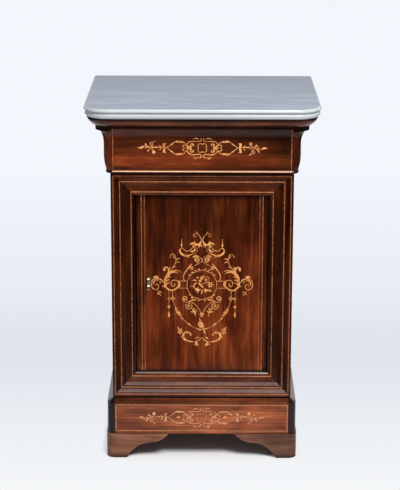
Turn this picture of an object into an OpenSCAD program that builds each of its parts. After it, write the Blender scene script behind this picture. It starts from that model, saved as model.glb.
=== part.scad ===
// Bedside pot cupboard: marble top, moulded frieze drawer, one recessed door with a lock, and a moulded
// plinth on bracket feet. Millimetres, +Z up, the front faces -Y.
// The origin is the middle of the whole object, at floor level.

/* [Cupboard body] */
// Width of the cupboard body over its side boards
body_w = 358; // [330:1:400]
// Depth of the cupboard body, from the face of the door frame to the back
body_d = 316; // [280:1:360]
// Height of the stepped door frame
frame_h = 462; // [400:1:520]
// Thickness of the side boards
side_t = 16; // [13:0.5:20]
// Thickness of the cupboard floor and of the divider under the drawer
board_t = 16; // [12:0.5:20]
// Thickness of the back boards
back_t = 8; // [6:0.5:12]
// Number of back boards
back_boards_n = 3; // [2:1:5]
// Depth of the housings that hold floor and divider in the sides
housing = 5; // [3:0.5:7]
// Height of the shelf's top above the cupboard floor
shelf_h = 189; // [120:1:250]
// Thickness of the shelf
shelf_t = 14; // [10:0.5:20]
// Side of the square shelf battens
batten = 12; // [8:1:20]
// Gap behind the door in front of the shelf
shelf_setback = 8; // [4:1:40]

/* [Door frame] */
// Width of a frame member on the face
member_w = 47.5; // [46:0.5:54]
// Depth of a frame member, front to back
member_d = 40; // [38:0.5:46]
// Width of the outer raised flat
outer_flat = 8.5; // [7:0.5:9]
// Width of the middle flat
middle_flat = 7.5; // [6:0.5:9]
// Width of each slope between flats
slope_w = 5.5; // [4:0.5:6]
// Depth that each slope falls
slope_d = 6; // [4:0.5:7]
// Radius of the rounded inner edge
inner_round = 5.5; // [3:0.5:6]
// Depth of the rebate that laps over the side boards, from the face
lap_d = 22.5; // [20:0.5:26]
// Width of the stringing lines
string_w = 1.8; // [1:0.1:2.5]
// Depth that the stringing is let in
string_d = 1; // [0.6:0.1:2]
// Distance of the outer line from the frame's edge
string_out = 4.9; // [3:0.1:5.5]
// Distance of the middle line from the middle flat's outer edge
string_mid = 3.4; // [2:0.1:4]
// Distance of the inner line from the rounded inner edge
string_in = 2.6; // [1.5:0.1:6]

/* [Door] */
// Thickness of the door
door_t = 18; // [15:0.5:19]
// Depth of the door's face behind the inner flat of the frame
door_recess = 9; // [8:0.5:10]
// Gap round the door
door_gap = 1.3; // [1:0.1:2]
// Distance of the outer vertical line from the door's edge
door_string_out = 10.2; // [6:0.1:15]
// Distance between the two vertical lines
door_string_step = 6; // [4:0.1:10]
// Width of the second, finer line
door_string_fine = 1; // [0.6:0.1:1.8]

/* [Pivot hinges] */
// Distance of the pivot in front of the door's face
pivot_fwd = 4; // [3.5:0.1:5]
// Distance of the pivot from the side of the door opening
pivot_in = 4.3; // [4:0.1:5]
// Radius of the hinge eye
eye_r = 3; // [2.6:0.1:3.2]
// Radius of the hinge pin
pin_r = 1.5; // [1.2:0.1:1.8]
// Radial clearance of the pin in its eye
pin_fit = 0.05; // [0.02:0.01:0.1]
// Thickness of a hinge leaf
leaf_t = 2; // [1.5:0.1:3]
// Width of a hinge leaf
leaf_w = 9; // [7:0.5:11]
// Length of a hinge leaf
leaf_l = 40; // [30:1:60]
// Distance of the leaf behind the door's face
leaf_back = 3; // [2:0.5:5]
// Vertical play left at the pivot
pivot_play = 0.3; // [0.2:0.05:0.6]

/* [Lock and key] */
// Height of the keyhole above the floor
key_z = 366; // [300:1:420]
// Distance of the keyhole from the door's free edge
backset = 24.5; // [20:0.5:30]
// Width of the lock plate
lock_w = 44; // [40:1:60]
// Height of the lock plate
lock_h = 56; // [50:1:70]
// Depth of the lock's pocket in the door
lock_d = 12; // [11:0.5:13]
// Thickness of the lock's plates
lock_plate_t = 2; // [1.5:0.1:2.5]
// Thickness of the lock's inner cap
cap_t = 1.2; // [1:0.1:2]
// Height of the lock bolt
bolt_h = 12; // [8:0.5:16]
// Thickness of the lock bolt
bolt_t = 5; // [4:0.1:6]
// Length of the lock bolt
bolt_l = 34; // [28:1:38]
// Travel of the lock bolt
bolt_throw = 7; // [5:0.5:9]
// Clearance round the lock bolt
bolt_gap = 0.3; // [0.2:0.05:0.5]
// Radius of the key's stem
key_r = 2.3; // [2:0.1:2.6]
// Radius of the key's tip in the lock plate
key_tip_r = 1.9; // [1.5:0.1:1.9]
// Radius that the key's bit reaches
bit_r = 8; // [7:0.1:9]
// Thickness of the key's bit
bit_t = 2.2; // [1.6:0.1:3]
// Length of the key in front of the door, to the middle of its bow
key_reach = 24; // [18:1:32]
// Outer radius of each ring of the key's bow
bow_r = 7.6; // [6:0.1:9]
// Thickness of the key's bow
bow_t = 4; // [3:0.1:6]
// Thickness of the escutcheon
escutcheon_t = 1; // [0.6:0.1:1.5]
// Width of the escutcheon
escutcheon_w = 11; // [9:0.5:16]
// Height of the escutcheon
escutcheon_h = 26; // [24:1:34]

/* [Frieze] */
// Height of the moulded frieze above the lip
frieze_h = 84.5; // [70:0.5:100]
// How far the frieze's upright middle stands out from the body
frieze_out = 12.3; // [10:0.1:16]
// How far its belly draws in at the bottom
belly_in = 4.9; // [3:0.1:7]
// Height of the belly's curve
belly_h = 29.5; // [20:0.5:33]
// How far its top flares out
flare_out = 12.8; // [5:0.1:15]
// Height of the flare's curve
flare_h = 32.5; // [20:0.5:40]
// Power of both curves; a higher one keeps the upright middle longer
ogee_power = 2.2; // [1.8:0.1:3]
// Height of the lip under the frieze
lip_h = 7; // [5:0.5:9]
// How far the lip stands out from the body
lip_out = 9; // [6:0.1:9.5]
// Height of the square head above the frieze's sides and corners
head_h = 5; // [2:0.5:8]
// How far that head stands out from the body
head_out = 28; // [24:0.5:28]
// How far inside the body's faces the rounded corners have their centres
corner_in = 4; // [3:0.5:8]
// Depth from the body's face to the back of the drawer front
front_back = 22.5; // [20:0.5:28]

/* [Drawer] */
// Gap round the drawer front
drawer_gap = 0.4; // [0.3:0.05:1]
// Gap under the lip
lip_gap = 2; // [1:0.1:3]
// Length of the drawer's sides
drawer_l = 250; // [200:1:252]
// Height of the drawer's sides
drawer_h = 70; // [50:1:76]
// Thickness of the drawer's sides
drawer_side_t = 9; // [7:0.5:12]
// Thickness of the drawer's back
drawer_back_t = 9; // [7:0.5:12]
// Thickness of the drawer's bottom
drawer_bottom_t = 5; // [4:0.5:7]
// Height of the drawer's bottom above the lower edge of the sides
bottom_up = 7; // [5:0.5:12]
// Depth of the grooves for the bottom and of the sockets in the front
groove = 4; // [3:0.5:5]
// Gap beside the drawer
side_gap = 1.2; // [0.5:0.1:2]
// Gap under and over the drawer's sides
run_gap = 0.3; // [0.2:0.05:0.5]
// Height of the kickers over the drawer's sides
kicker_h = 12; // [8:0.5:18]
// Width of the kickers
kicker_w = 14; // [10:0.5:20]
// Length of the kickers
kicker_l = 240; // [180:1:250]

/* [Cornice and marble] */
// Height of the cornice
cornice_h = 22.5; // [18:0.5:28]
// How far the cornice's foot stands out from the body
cornice_foot = 28; // [28:0.5:32]
// How far the cornice's top stands out from the body
cornice_out = 44; // [38:0.5:48]
// Height of the cornice's lower flat
cornice_flat = 4; // [3:0.5:6]
// Height of the cornice's upper flat
cornice_cap = 3; // [1:0.5:4]
// Swelling of the cornice's curve
cornice_swell = 2.4; // [1:0.1:4]
// Gap over the drawer front
head_gap = 1; // [0.5:0.1:2]
// Height of the top rails
top_rail_h = 22.5; // [15:0.5:22.5]
// Depth of the front top rail
top_rail_d = 60; // [40:1:80]
// Depth of the back top rail
back_rail_d = 20; // [15:1:40]
// Thickness of the marble
marble_t = 20; // [18:0.5:24]
// How far the marble stands out from the body at the front and sides
marble_out = 50; // [48:0.5:60]
// Radius of the marble's front corners
marble_r = 50; // [35:1:60]
// Height of the marble's upper ovolo
ovolo_h = 7.8; // [5:0.1:8]
// Width of the marble's upper ovolo
ovolo_w = 4.8; // [3:0.1:7]
// Depth of the quirk between ovolo and roll
quirk_d = 2.2; // [2:0.1:4]
// Radius of the lower roll
roll_r = 5.7; // [5:0.1:6.5]
// How far the roll lies inside the marble's edge
roll_in = 2; // [0:0.1:4]

/* [Plinth and feet] */
// Height of the feet
foot_h = 52; // [45:1:70]
// How far the feet stand out from the body
foot_out = 13.4; // [12:0.1:18]
// Height of the plinth
plinth_h = 73; // [60:1:90]
// How far the plinth stands out from the body
plinth_out = 11.4; // [8:0.1:12]
// Height of the bevel on top of the plinth
bevel_h = 8; // [5:0.5:11]
// How far the bevel's top edge stands out from the body
bevel_top = 1; // [0.5:0.1:3]
// Thickness of the plinth's front and side boards
plinth_t = 25; // [21:1:35]
// Thickness of the plinth's back
plinth_back_t = 16; // [12:1:25]
// Height of the dark fillet under the door frame
fillet_h = 2.5; // [2:0.1:5]
// Depth that this fillet lies behind the frame's face
fillet_in = 3; // [2:0.5:6]
// Distance of the plinth's stringing from its corners
plinth_string_x = 2; // [1.5:0.1:6]
// Distance of the plinth's stringing from the bevel
plinth_string_top = 3.6; // [2:0.1:8]
// Distance of the plinth's stringing from the plinth's foot
plinth_string_foot = 6; // [4:0.1:10]
// Width of a foot at the floor
leg_w = 41; // [35:1:60]
// Length of a bracket along its top
bracket_l = 125.4; // [110:0.1:135]
// Width of the arch's lower curve
arch_w = 46; // [36:0.5:50]
// Height of the arch's lower curve
arch_h = 33; // [26:0.5:40]
// Bulge of the lower curve
arch_bulge = 7.2; // [4:0.1:9]
// Bulge of the upper curve
tip_bulge = 5.5; // [2:0.1:7]
// Side of the square glue blocks in the feet
block_w = 25; // [15:1:40]
// Height of the glue blocks off the floor
block_up = 1; // [0.5:0.5:5]

/* [Screws] */
// Radius of a screw's shank
screw_r = 1.2; // [0.8:0.1:1.5]
// Radius of a screw's head
screw_head_r = 2.3; // [1.6:0.1:2.6]
// Depth of a screw's countersunk head
screw_head_h = 1.4; // [0.9:0.1:2]
// Length of a screw
screw_l = 9; // [6:0.5:12]

/* [Hidden] */
$fn = 64;
curve_n = 10;           // segments of a moulding's curve
cut = 1;                // overrun of a cutting tool past the face it leaves

ROSEWOOD = [0.34, 0.15, 0.08];
EBONISED = [0.16, 0.11, 0.10];
INLAY = [0.80, 0.56, 0.36];
OAK = [0.62, 0.46, 0.30];
PINE = [0.72, 0.57, 0.39];
MARBLE = [0.62, 0.66, 0.71];
BRASS = [0.76, 0.63, 0.35];
STEEL = [0.55, 0.55, 0.56];

// Plan
half_w = body_w / 2;
total_d = body_d + marble_out;
back_y = total_d / 2;
face_y = -total_d / 2 + marble_out;
inner_w = half_w - side_t;
front_y = face_y + front_back;          // front edges of the side boards, back of the drawer front
back_in = back_y - back_t;
corner_x = half_w - corner_in;
corner_y = face_y + corner_in;

// Levels
plinth_top = foot_h + plinth_h;
frame_z0 = plinth_top + fillet_h;
frame_z1 = frame_z0 + frame_h;
lip_z0 = frame_z1 + lip_gap;
lip_z1 = lip_z0 + lip_h;
frieze_z1 = lip_z1 + frieze_h;
cornice_z0 = frieze_z1 + head_gap;
cornice_z1 = cornice_z0 + cornice_h;
opening_z0 = frame_z0 + member_w;
opening_z1 = frame_z1 - member_w;
opening_half = half_w - member_w;
floor_z1 = opening_z0;
shelf_z1 = floor_z1 + shelf_h;
shelf_z0 = shelf_z1 - shelf_t;

// Door
flat_d = 2 * slope_d;                   // depth of the frame's inner flat behind its face
door_y0 = face_y + flat_d + door_recess;
door_y1 = door_y0 + door_t;
door_half = opening_half - door_gap;
door_z0 = opening_z0 + door_gap;
door_z1 = opening_z1 - door_gap;
pivot_x = opening_half - pivot_in;
pivot_y = door_y0 - pivot_fwd;
key_x = -door_half + backset;
lock_x1 = -door_half + lock_w;
lock_y0 = door_y1 - lock_d;
lock_z0 = key_z - lock_h / 2;
lock_z1 = key_z + lock_h / 2;
cap_sink = 0.5;                         // gap between the lock's cap and the floor of its pocket
cap_y0 = lock_y0 + cap_sink;
bolt_y0 = cap_y0 + cap_t + bolt_gap;
bolt_y1 = bolt_y0 + bolt_t;
bolt_z0 = key_z + bit_r + bolt_gap;
bolt_z1 = bolt_z0 + bolt_h;
slot_gap = 0.4;                         // round the key in its keyhole
mortise_gap = 1;                        // round the bolt in the strike plate's mortise
strike_t = 1.2;                         // thickness of the strike plate
strike_over = 9;                        // of the strike plate above and below the bolt
strike_w = 11;                          // width of the strike plate

// Drawer
drawer_half = inner_w - side_gap;
drawer_z0 = frame_z1 + run_gap;
drawer_z1 = drawer_z0 + drawer_h;
drawer_y1 = front_y + run_gap + drawer_l;
drawer_bottom_z = drawer_z0 + bottom_up;
stop_l = 10;                            // length of a drawer stop, front to back
stop_w = 20;                            // width of a drawer stop
stop_x = 60;                            // of the stops from the middle
stop_lap = 11;                          // height over which the drawer's back meets the stops
kicker_setback = 5;                     // of the kickers behind the drawer front

// Feet and plinth
plinth_face_z1 = plinth_top - bevel_h;
plinth_inner = half_w + plinth_out - plinth_t;
foot_t = corner_in + foot_out;

// ---------- curves and runs ----------

// Arc from a to b in n steps that stands s off the chord, to the left of the way from a to b
function arc(a, b, s, n = curve_n) =
    let (d = b - a, l = norm(d), r = (l * l / 4 + s * s) / (2 * abs(s)), side = sign(s),
         left = [-d[1], d[0]] / l, c = (a + b) / 2 + left * (s - side * r),
         half = asin(l / 2 / r), mid = atan2(side * left[1], side * left[0]))
    [for (i = [0:n]) let (t = mid + side * half * (1 - 2 * i / n)) c + r * [cos(t), sin(t)]];

// Projection of the frieze from the body at height z
function frieze_p(z) =
    z < lip_z1 + belly_h ? frieze_out - belly_in * pow((lip_z1 + belly_h - z) / belly_h, ogee_power)
    : z > frieze_z1 - flare_h ? frieze_out + flare_out * pow((z - frieze_z1 + flare_h) / flare_h, ogee_power)
    : frieze_out;

// The frieze's face from its lip up to height z1, as [projection, height]
function frieze_face(z1) = concat(
    [for (i = [0:curve_n]) let (z = lip_z1 + belly_h * i / curve_n) [frieze_p(z), z]],
    [for (i = [0:curve_n]) let (z0 = frieze_z1 - flare_h, z = z0 + (z1 - z0) * i / curve_n)
        [frieze_p(z), z]]);

// Outline of the frieze with the square head that its sides and corners have, back to projection p0
function frieze_outline(p0) = concat([[p0, lip_z1]], frieze_face(frieze_z1 - head_h + head_gap),
    [[head_out, frieze_z1 - head_h + head_gap], [head_out, cornice_z0], [p0, cornice_z0]]);

bead_r = lip_h / 2;
function lip_outline(p0) = concat([[p0, lip_z0]],
    [for (i = [0:curve_n]) let (t = -90 + 180 * i / curve_n)
        [lip_out - bead_r + bead_r * cos(t), lip_z0 + bead_r + bead_r * sin(t)]],
    [[p0, lip_z1]]);

function cornice_outline(p0) = concat([[p0, cornice_z0], [cornice_foot, cornice_z0]],
    arc([cornice_foot, cornice_z0 + cornice_flat], [cornice_out, cornice_z1 - cornice_cap], -cornice_swell),
    [[cornice_out, cornice_z1], [p0, cornice_z1]]);

// The marble's edge: roll below, quirk, ovolo above
roll_c = [marble_out - roll_in - roll_r, cornice_z1 + roll_r];
ovolo_z0 = cornice_z1 + marble_t - ovolo_h;
roll_low = 70;                          // angle below level at which the roll meets the underside
roll_top = acos(1 - quirk_d / roll_r);  // angle above level at which it meets the quirk
lower_round = 1.5;                      // rise of the ovolo's lower edge out of the quirk
function marble_outline(p0) = concat([[p0, cornice_z1], [roll_c[0] + roll_r * cos(roll_low), cornice_z1]],
    [for (i = [0:curve_n]) let (t = -roll_low + (roll_low + roll_top) * i / curve_n)
        roll_c + roll_r * [cos(t), sin(t)]],
    [[roll_c[0] + roll_r * cos(roll_top), ovolo_z0]],
    [for (i = [0:curve_n]) let (t = 90 * i / curve_n)
        [marble_out - ovolo_w * (1 - cos(t)), ovolo_z0 + lower_round + (ovolo_h - lower_round) * sin(t)]],
    [[p0, cornice_z1 + marble_t]]);

function plinth_outline(p0) = [[p0, foot_h], [plinth_out, foot_h], [plinth_out, plinth_face_z1],
    [bevel_top, plinth_top], [p0, plinth_top]];

// A moulding along the right side, from y0 to y1; its outline is [projection, height]
module side_run(outline, y0, y1)
    translate([half_w, y1, 0]) rotate([90, 0, 0]) linear_extrude(y1 - y0) polygon(outline);

// A moulding along the front, from x0 to x1
module front_run(outline, x0, x1)
    translate([x1, face_y, 0]) rotate([0, 0, -90]) rotate([90, 0, 0])
        linear_extrude(x1 - x0) polygon(outline);

// The quarter turn at the right front corner; its centre lies inset inside the body's two faces
module corner_turn(outline, inset = corner_in)
    translate([half_w - inset, face_y + inset, 0]) rotate([0, 0, -90])
        rotate_extrude(angle = 90) polygon([for (p = outline) [p[0] + inset, p[1]]]);

module on_left() mirror([1, 0, 0]) children();

// A box from its low corner to its high corner
module block(a, b) translate(a) cube(b - a);

// ---------- marble, cornice and top rails ----------

marble_inset = marble_r - marble_out;   // of the corners' centres inside the body's faces
module marble_top() color(MARBLE) {
    inset = marble_inset;
    centre_x = half_w - inset;
    centre_y = face_y + inset;
    corner_turn(marble_outline(-inset), inset);
    on_left() corner_turn(marble_outline(-inset), inset);
    front_run(marble_outline(-inset), -centre_x, centre_x);
    side_run(marble_outline(-inset), centre_y, back_y);
    on_left() side_run(marble_outline(-inset), centre_y, back_y);
    block([-centre_x, centre_y, cornice_z1], [centre_x, back_y, cornice_z1 + marble_t]);
}

module cornice_front() color(ROSEWOOD) {
    inset = marble_inset;
    back = -front_back;
    front_run(cornice_outline(back), -half_w + inset, half_w - inset);
    for (flip = [0, 1]) mirror([flip, 0, 0]) {
        corner_turn(cornice_outline(-inset), inset);
        side_run(cornice_outline(-inset), face_y + inset, front_y);
    }
}

module cornice_side() color(ROSEWOOD) side_run(cornice_outline(0), front_y, back_y);
module cornice_right() cornice_side();
module cornice_left() on_left() cornice_side();

module top_front_rail() color(PINE)
    block([-inner_w, front_y, cornice_z1 - top_rail_h], [inner_w, front_y + top_rail_d, cornice_z1]);
module top_back_rail() color(PINE)
    block([-inner_w, back_in - back_rail_d, cornice_z1 - top_rail_h], [inner_w, back_in, cornice_z1]);

// ---------- carcass boards ----------

module side_panel() color(ROSEWOOD) difference() {
    block([inner_w, front_y, plinth_top], [half_w, back_y, cornice_z1]);
    block([inner_w - cut, back_in, plinth_top - cut], [inner_w + side_t / 2, back_y + cut, cornice_z1 + cut]);
    block([inner_w - cut, face_y + member_d, floor_z1 - board_t], [inner_w + housing, back_in, floor_z1]);
    block([inner_w - cut, front_y - cut, frame_z1 - board_t], [inner_w + housing, back_in, frame_z1]);
}
module side_panel_right() side_panel();
module side_panel_left() on_left() side_panel();

back_seam = 0.6;                        // between neighbouring back boards
module back_boards() color(PINE) {
    w = 2 * (inner_w + side_t / 2) / back_boards_n;
    for (i = [0:back_boards_n - 1])
        translate([-(inner_w + side_t / 2) + i * w, 0, 0])
            block([i > 0 ? back_seam : 0, back_in, plinth_top], [w, back_y, cornice_z1]);
}

module drawer_divider() color(OAK)
    block([-inner_w - housing, front_y, frame_z1 - board_t], [inner_w + housing, back_in, frame_z1]);
module cupboard_floor() color(OAK)
    block([-inner_w - housing, face_y + member_d, floor_z1 - board_t],
          [inner_w + housing, back_in, floor_z1]);
shelf_y0 = face_y + member_d + shelf_setback;
shelf_side_gap = 0.5;                   // between the shelf's ends and the sides
module shelf() color(OAK)
    block([-inner_w + shelf_side_gap, shelf_y0, shelf_z0], [inner_w - shelf_side_gap, back_in, shelf_z1]);
module shelf_battens() color(OAK)
    for (s = [-1, 1]) translate([s * (inner_w - batten / 2), 0, 0])
        block([-batten / 2, shelf_y0, shelf_z0 - batten], [batten / 2, back_in, shelf_z0]);

// ---------- stepped door frame ----------

// Section of a frame member: [distance from the frame's edge, depth behind its face]
u_slope1 = outer_flat;
u_mid = outer_flat + slope_w;
u_slope2 = u_mid + middle_flat;
u_inner = u_slope2 + slope_w;
u_round = member_w - inner_round;
member_section = concat(
    [[0, 0], [u_slope1, 0], [u_mid, slope_d], [u_slope2, slope_d], [u_inner, flat_d]],
    [for (i = [0:curve_n]) let (t = 90 * i / curve_n)
        [u_round + inner_round * sin(t), flat_d + inner_round * (1 - cos(t))]],
    [[member_w, member_d], [side_t, member_d], [side_t, lap_d], [0, lap_d]]);

// Right-hand member along +Z, mitred at both ends, between heights z0 and z1
module member(half, z0, z1) intersection() {
    translate([0, 0, z0]) linear_extrude(z1 - z0)
        polygon([for (p = member_section) [half - p[0], face_y + p[1]]]);
    translate([0, face_y + member_d + cut, 0]) rotate([90, 0, 0]) linear_extrude(member_d + 2 * cut)
        polygon([[half, z0], [half, z1], [half - member_w, z1 - member_w], [half - member_w, z0 + member_w]]);
}

frame_mid_z = (frame_z0 + frame_z1) / 2;
// Bottom rail: a member turned to lie along X
module rail_bar() translate([0, 0, frame_mid_z]) rotate([0, 90, 0])
    translate([frame_h / 2 - half_w, 0, 0]) member(half_w, -half_w, half_w);

// A closed line of stringing: a flat frame whose middle runs u inside the frame's edge
module string_ring(u, depth, over) {
    w = string_w / 2;
    y = face_y + depth;
    difference() {
        block([-half_w + u - w, y - over, frame_z0 + u - w],
              [half_w - u + w, y + string_d, frame_z1 - u + w]);
        block([-half_w + u + w, y - over - cut, frame_z0 + u + w],
              [half_w - u - w, y + string_d + cut, frame_z1 - u - w]);
    }
}
module frame_strings(over = 0) {
    string_ring(string_out, 0, over);
    string_ring(u_mid + string_mid, slope_d, over);
    string_ring(u_round - string_in, flat_d, over);
}
module frame_stringing() color(INLAY) frame_strings();

module frame_stile_right() color(ROSEWOOD) difference() {
    member(half_w, frame_z0, frame_z1);
    frame_strings(cut);
}
module frame_stile_left() color(ROSEWOOD) difference() {
    on_left() member(half_w, frame_z0, frame_z1);
    frame_strings(cut);
    strike_plate_body(cut);
    mortise(strike_t + bolt_throw);
    strike_screws(hole = true);
}
module frame_rail_bottom() color(ROSEWOOD) difference() {
    rail_bar();
    frame_strings(cut);
    leaf_pocket(opening_z0 - leaf_t, opening_z0 + cut);
    frame_leaf_screws(low = true, hole = true);
}
module frame_rail_top() color(ROSEWOOD) difference() {
    translate([0, 0, 2 * frame_mid_z]) mirror([0, 0, 1]) rail_bar();
    frame_strings(cut);
    leaf_pocket(opening_z1 - cut, opening_z1 + leaf_t);
    frame_leaf_screws(low = false, hole = true);
}

module frame_fillet() color(EBONISED)
    block([-half_w + fillet_in, face_y + fillet_in, plinth_top], [half_w - fillet_in, front_y, frame_z0]);

// ---------- frieze, lip and drawer fittings of the carcass ----------

module frieze_right() color(ROSEWOOD) side_run(frieze_outline(0), front_y, back_y);
module frieze_left() on_left() frieze_right();

module frieze_corner_right() color(ROSEWOOD) {
    corner_turn(frieze_outline(-corner_in));
    side_run(frieze_outline(-corner_in), corner_y, front_y);
}
module frieze_corner_left() on_left() frieze_corner_right();

module lip_right() color(EBONISED) {
    corner_turn(lip_outline(-corner_in));
    side_run(lip_outline(-corner_in), corner_y, front_y);
    side_run(lip_outline(0), front_y, back_y);
}
module lip_left() on_left() lip_right();

module drawer_kickers() color(OAK)
    for (s = [-1, 1]) translate([s * (inner_w - kicker_w / 2), 0, 0])
        block([-kicker_w / 2, front_y + kicker_setback, drawer_z1 + run_gap],
              [kicker_w / 2, front_y + kicker_setback + kicker_l, drawer_z1 + run_gap + kicker_h]);
module drawer_stops() color(OAK)
    for (s = [-1, 1]) translate([s * stop_x, 0, 0])
        block([-stop_w / 2, drawer_y1 + run_gap, frame_z1],
              [stop_w / 2, drawer_y1 + run_gap + stop_l, frame_z1 + stop_lap]);

// ---------- plinth and feet ----------

module plinth_string(over = 0) {
    w = string_w / 2;
    x = corner_x - plinth_string_x;
    y = face_y - plinth_out;
    z0 = foot_h + plinth_string_foot;
    z1 = plinth_face_z1 - plinth_string_top;
    difference() {
        block([-x - w, y - over, z0 - w], [x + w, y + string_d, z1 + w]);
        block([-x + w, y - over - cut, z0 + w], [x - w, y + string_d + cut, z1 - w]);
    }
}
module plinth_stringing() color(INLAY) plinth_string();
module plinth_front() color(ROSEWOOD) difference() {
    union() {
        front_run(plinth_outline(-corner_in), -corner_x, corner_x);
        front_run(plinth_outline(plinth_out - plinth_t), -plinth_inner, plinth_inner);
    }
    plinth_string(cut);
}
module plinth_corner_right() color(EBONISED) corner_turn(plinth_outline(-corner_in));
module plinth_corner_left() on_left() plinth_corner_right();
module plinth_right() color(ROSEWOOD) side_run(plinth_outline(plinth_out - plinth_t), corner_y, back_y);
module plinth_left() on_left() plinth_right();
module plinth_back() color(PINE) {
    block([-plinth_inner, back_y - plinth_back_t, foot_h], [plinth_inner, back_y, plinth_top]);
}

// Outline of a bracket: [distance from the foot's outer face, height]
arch_knee = [leg_w + arch_w, arch_h];
bracket_outline = concat([[foot_t, 0]], arc([leg_w, 0], arch_knee, arch_bulge),
    arc(arch_knee, [bracket_l, foot_h], -tip_bulge), [[foot_t, foot_h]]);

// A bracket along the front on the right, standing on the floor
module bracket_front() translate([half_w + foot_out, face_y - foot_out + foot_t, 0]) rotate([90, 0, 0])
    linear_extrude(foot_t) polygon([for (p = bracket_outline) [-p[0], p[1]]]);

// A bracket along the right side; its foot's outer face lies at y, and dir is 1 towards the back
module bracket_side(y, dir) translate([corner_x, y, 0]) rotate([90, 0, 90])
    linear_extrude(foot_t) polygon([for (p = bracket_outline) [dir * p[0], p[1]]]);

module foot_front_right() color(ROSEWOOD) {
    bracket_front();
    corner_turn([[-corner_in, 0], [foot_out, 0], [foot_out, foot_h], [-corner_in, foot_h]]);
}
module foot_front_left() on_left() foot_front_right();
module feet_side_right() color(ROSEWOOD) {
    bracket_side(face_y - foot_out, 1);
    bracket_side(back_y, -1);
    block([corner_x, back_y - foot_t, 0], [corner_x + foot_t, back_y, foot_h]);
}
module feet_side_left() on_left() feet_side_right();
module feet_back() color(PINE) for (s = [0, 1]) mirror([s, 0, 0])
    translate([corner_x, back_y, 0]) rotate([90, 0, 0]) linear_extrude(foot_t)
        polygon([for (p = bracket_outline) [foot_t - p[0], p[1]]]);
module foot_blocks() color(PINE) for (sx = [-1, 1], back = [0, 1]) {
    x = sx * (corner_x - block_w / 2);
    y = back ? back_y - foot_t - block_w : corner_y;
    translate([x, y, block_up]) block([-block_w / 2, 0, 0], [block_w / 2, block_w, foot_h - block_up]);
}

// ---------- pivot hinges ----------

// One leaf from z0 to z1: a strip beside the door's edge and an eye at the pivot, all gap wider in plan
leaf_y0 = door_y0 + leaf_back;
leaf_x1 = pivot_x + eye_r;
module leaf_body(z0, z1, gap) {
    block([leaf_x1 - leaf_l - gap, leaf_y0 - gap, z0], [leaf_x1 + gap, leaf_y0 + leaf_w + gap, z1]);
    block([pivot_x - eye_r - gap, pivot_y, z0], [leaf_x1 + gap, leaf_y0 + leaf_w / 2, z1]);
    pivot_rod(eye_r + gap, z0, z1);
}
module leaf(z) leaf_body(z, z + leaf_t, 0);
module pivot_rod(r, z0, z1) translate([pivot_x, pivot_y, z0]) cylinder(r = r, h = z1 - z0);
pocket_gap = 0.3;                       // round a leaf in its pocket
module leaf_pocket(z0, z1) leaf_body(z0, z1, pocket_gap);
leaf_screw_end = 6;                     // of the outer screw from the leaf's end
leaf_screw_eye = 9;                     // of the inner screw from the pivot
leaf_screw_x = [leaf_x1 - leaf_l + leaf_screw_end, pivot_x - leaf_screw_eye];
leaf_screw_y = leaf_y0 + leaf_w / 2;

module frame_pivot_leaves() color(BRASS) difference() {
    for (z = [opening_z0 - leaf_t, opening_z1]) leaf(z);
    pivot_rod(pin_r + pin_fit, opening_z0 - leaf_t - cut, opening_z0 + cut);
    pivot_rod(pin_r + pin_fit, opening_z1 - cut, opening_z1 + leaf_t + cut);
    frame_leaf_screws(low = true, hole = true);
    frame_leaf_screws(low = false, hole = true);
}

washer_w = 1.2;                         // of the pivot's washer round its pin
pin_short = 0.2;                        // of the pins from the far face of the frame's leaves
module door_pivot_leaves() color(BRASS) {
    difference() {
        for (z = [door_z0, door_z1 - leaf_t]) leaf(z);
        door_leaf_screws(low = true, hole = true);
        door_leaf_screws(low = false, hole = true);
    }
    pin_l = door_gap + leaf_t - pin_short;
    pivot_rod(pin_r, door_z0 - pin_l, door_z0 + leaf_t);
    pivot_rod(pin_r, door_z1 - leaf_t, door_z1 + pin_l);
    pivot_rod(pin_r + washer_w, opening_z0 + pivot_play, door_z0 + leaf_t);
    pivot_rod(pin_r + washer_w, door_z1 - leaf_t, opening_z1 - pivot_play);
}

// ---------- screws ----------

screw_gap = 0.1;                        // round a screw in its hole
lock_screw_x = 4;                       // of the lock's screws from the plate's inner edge
lock_screw_z = 5;                       // of the lock's screws from the plate's ends

// A countersunk screw whose head lies at the origin and whose shank runs along -Z, or its hole
module screw(hole) {
    shank = screw_r + (hole ? screw_gap : 0);
    head = screw_head_r + (hole ? screw_gap : 0);
    mouth = hole ? [[head, cut], [0, cut]] : [[0, 0]];
    rotate_extrude() polygon(concat([[0, -screw_l], [shank, -screw_l], [shank, -screw_head_h], [head, 0]],
        mouth));
}
module frame_leaf_screws(low, hole = false) for (x = leaf_screw_x)
    if (low) translate([x, leaf_screw_y, opening_z0]) screw(hole);
    else translate([x, leaf_screw_y, opening_z1]) rotate([180, 0, 0]) screw(hole);
module door_leaf_screws(low, hole = false) for (x = leaf_screw_x)
    if (low) translate([x, leaf_screw_y, door_z0]) rotate([180, 0, 0]) screw(hole);
    else translate([x, leaf_screw_y, door_z1]) screw(hole);
strike_web = (strike_over - mortise_gap) / 2;   // of each strike screw from the mortise
strike_screw_z = [bolt_z0 - mortise_gap - strike_web, bolt_z1 + mortise_gap + strike_web];
module strike_screws(hole = false) for (z = strike_screw_z)
    translate([-opening_half, (bolt_y0 + bolt_y1) / 2, z]) rotate([0, 90, 0]) screw(hole);
module lock_screws(hole = false) for (z = [lock_z0 + lock_screw_z, lock_z1 - lock_screw_z])
    translate([lock_x1 - lock_screw_x, door_y1, z]) rotate([-90, 0, 0]) screw(hole);

module frame_screws() color(STEEL) {
    frame_leaf_screws(low = true);
    frame_leaf_screws(low = false);
    strike_screws();
}
module door_screws() color(STEEL) {
    door_leaf_screws(low = true);
    door_leaf_screws(low = false);
    lock_screws();
}

// ---------- door, lock and key ----------

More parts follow.
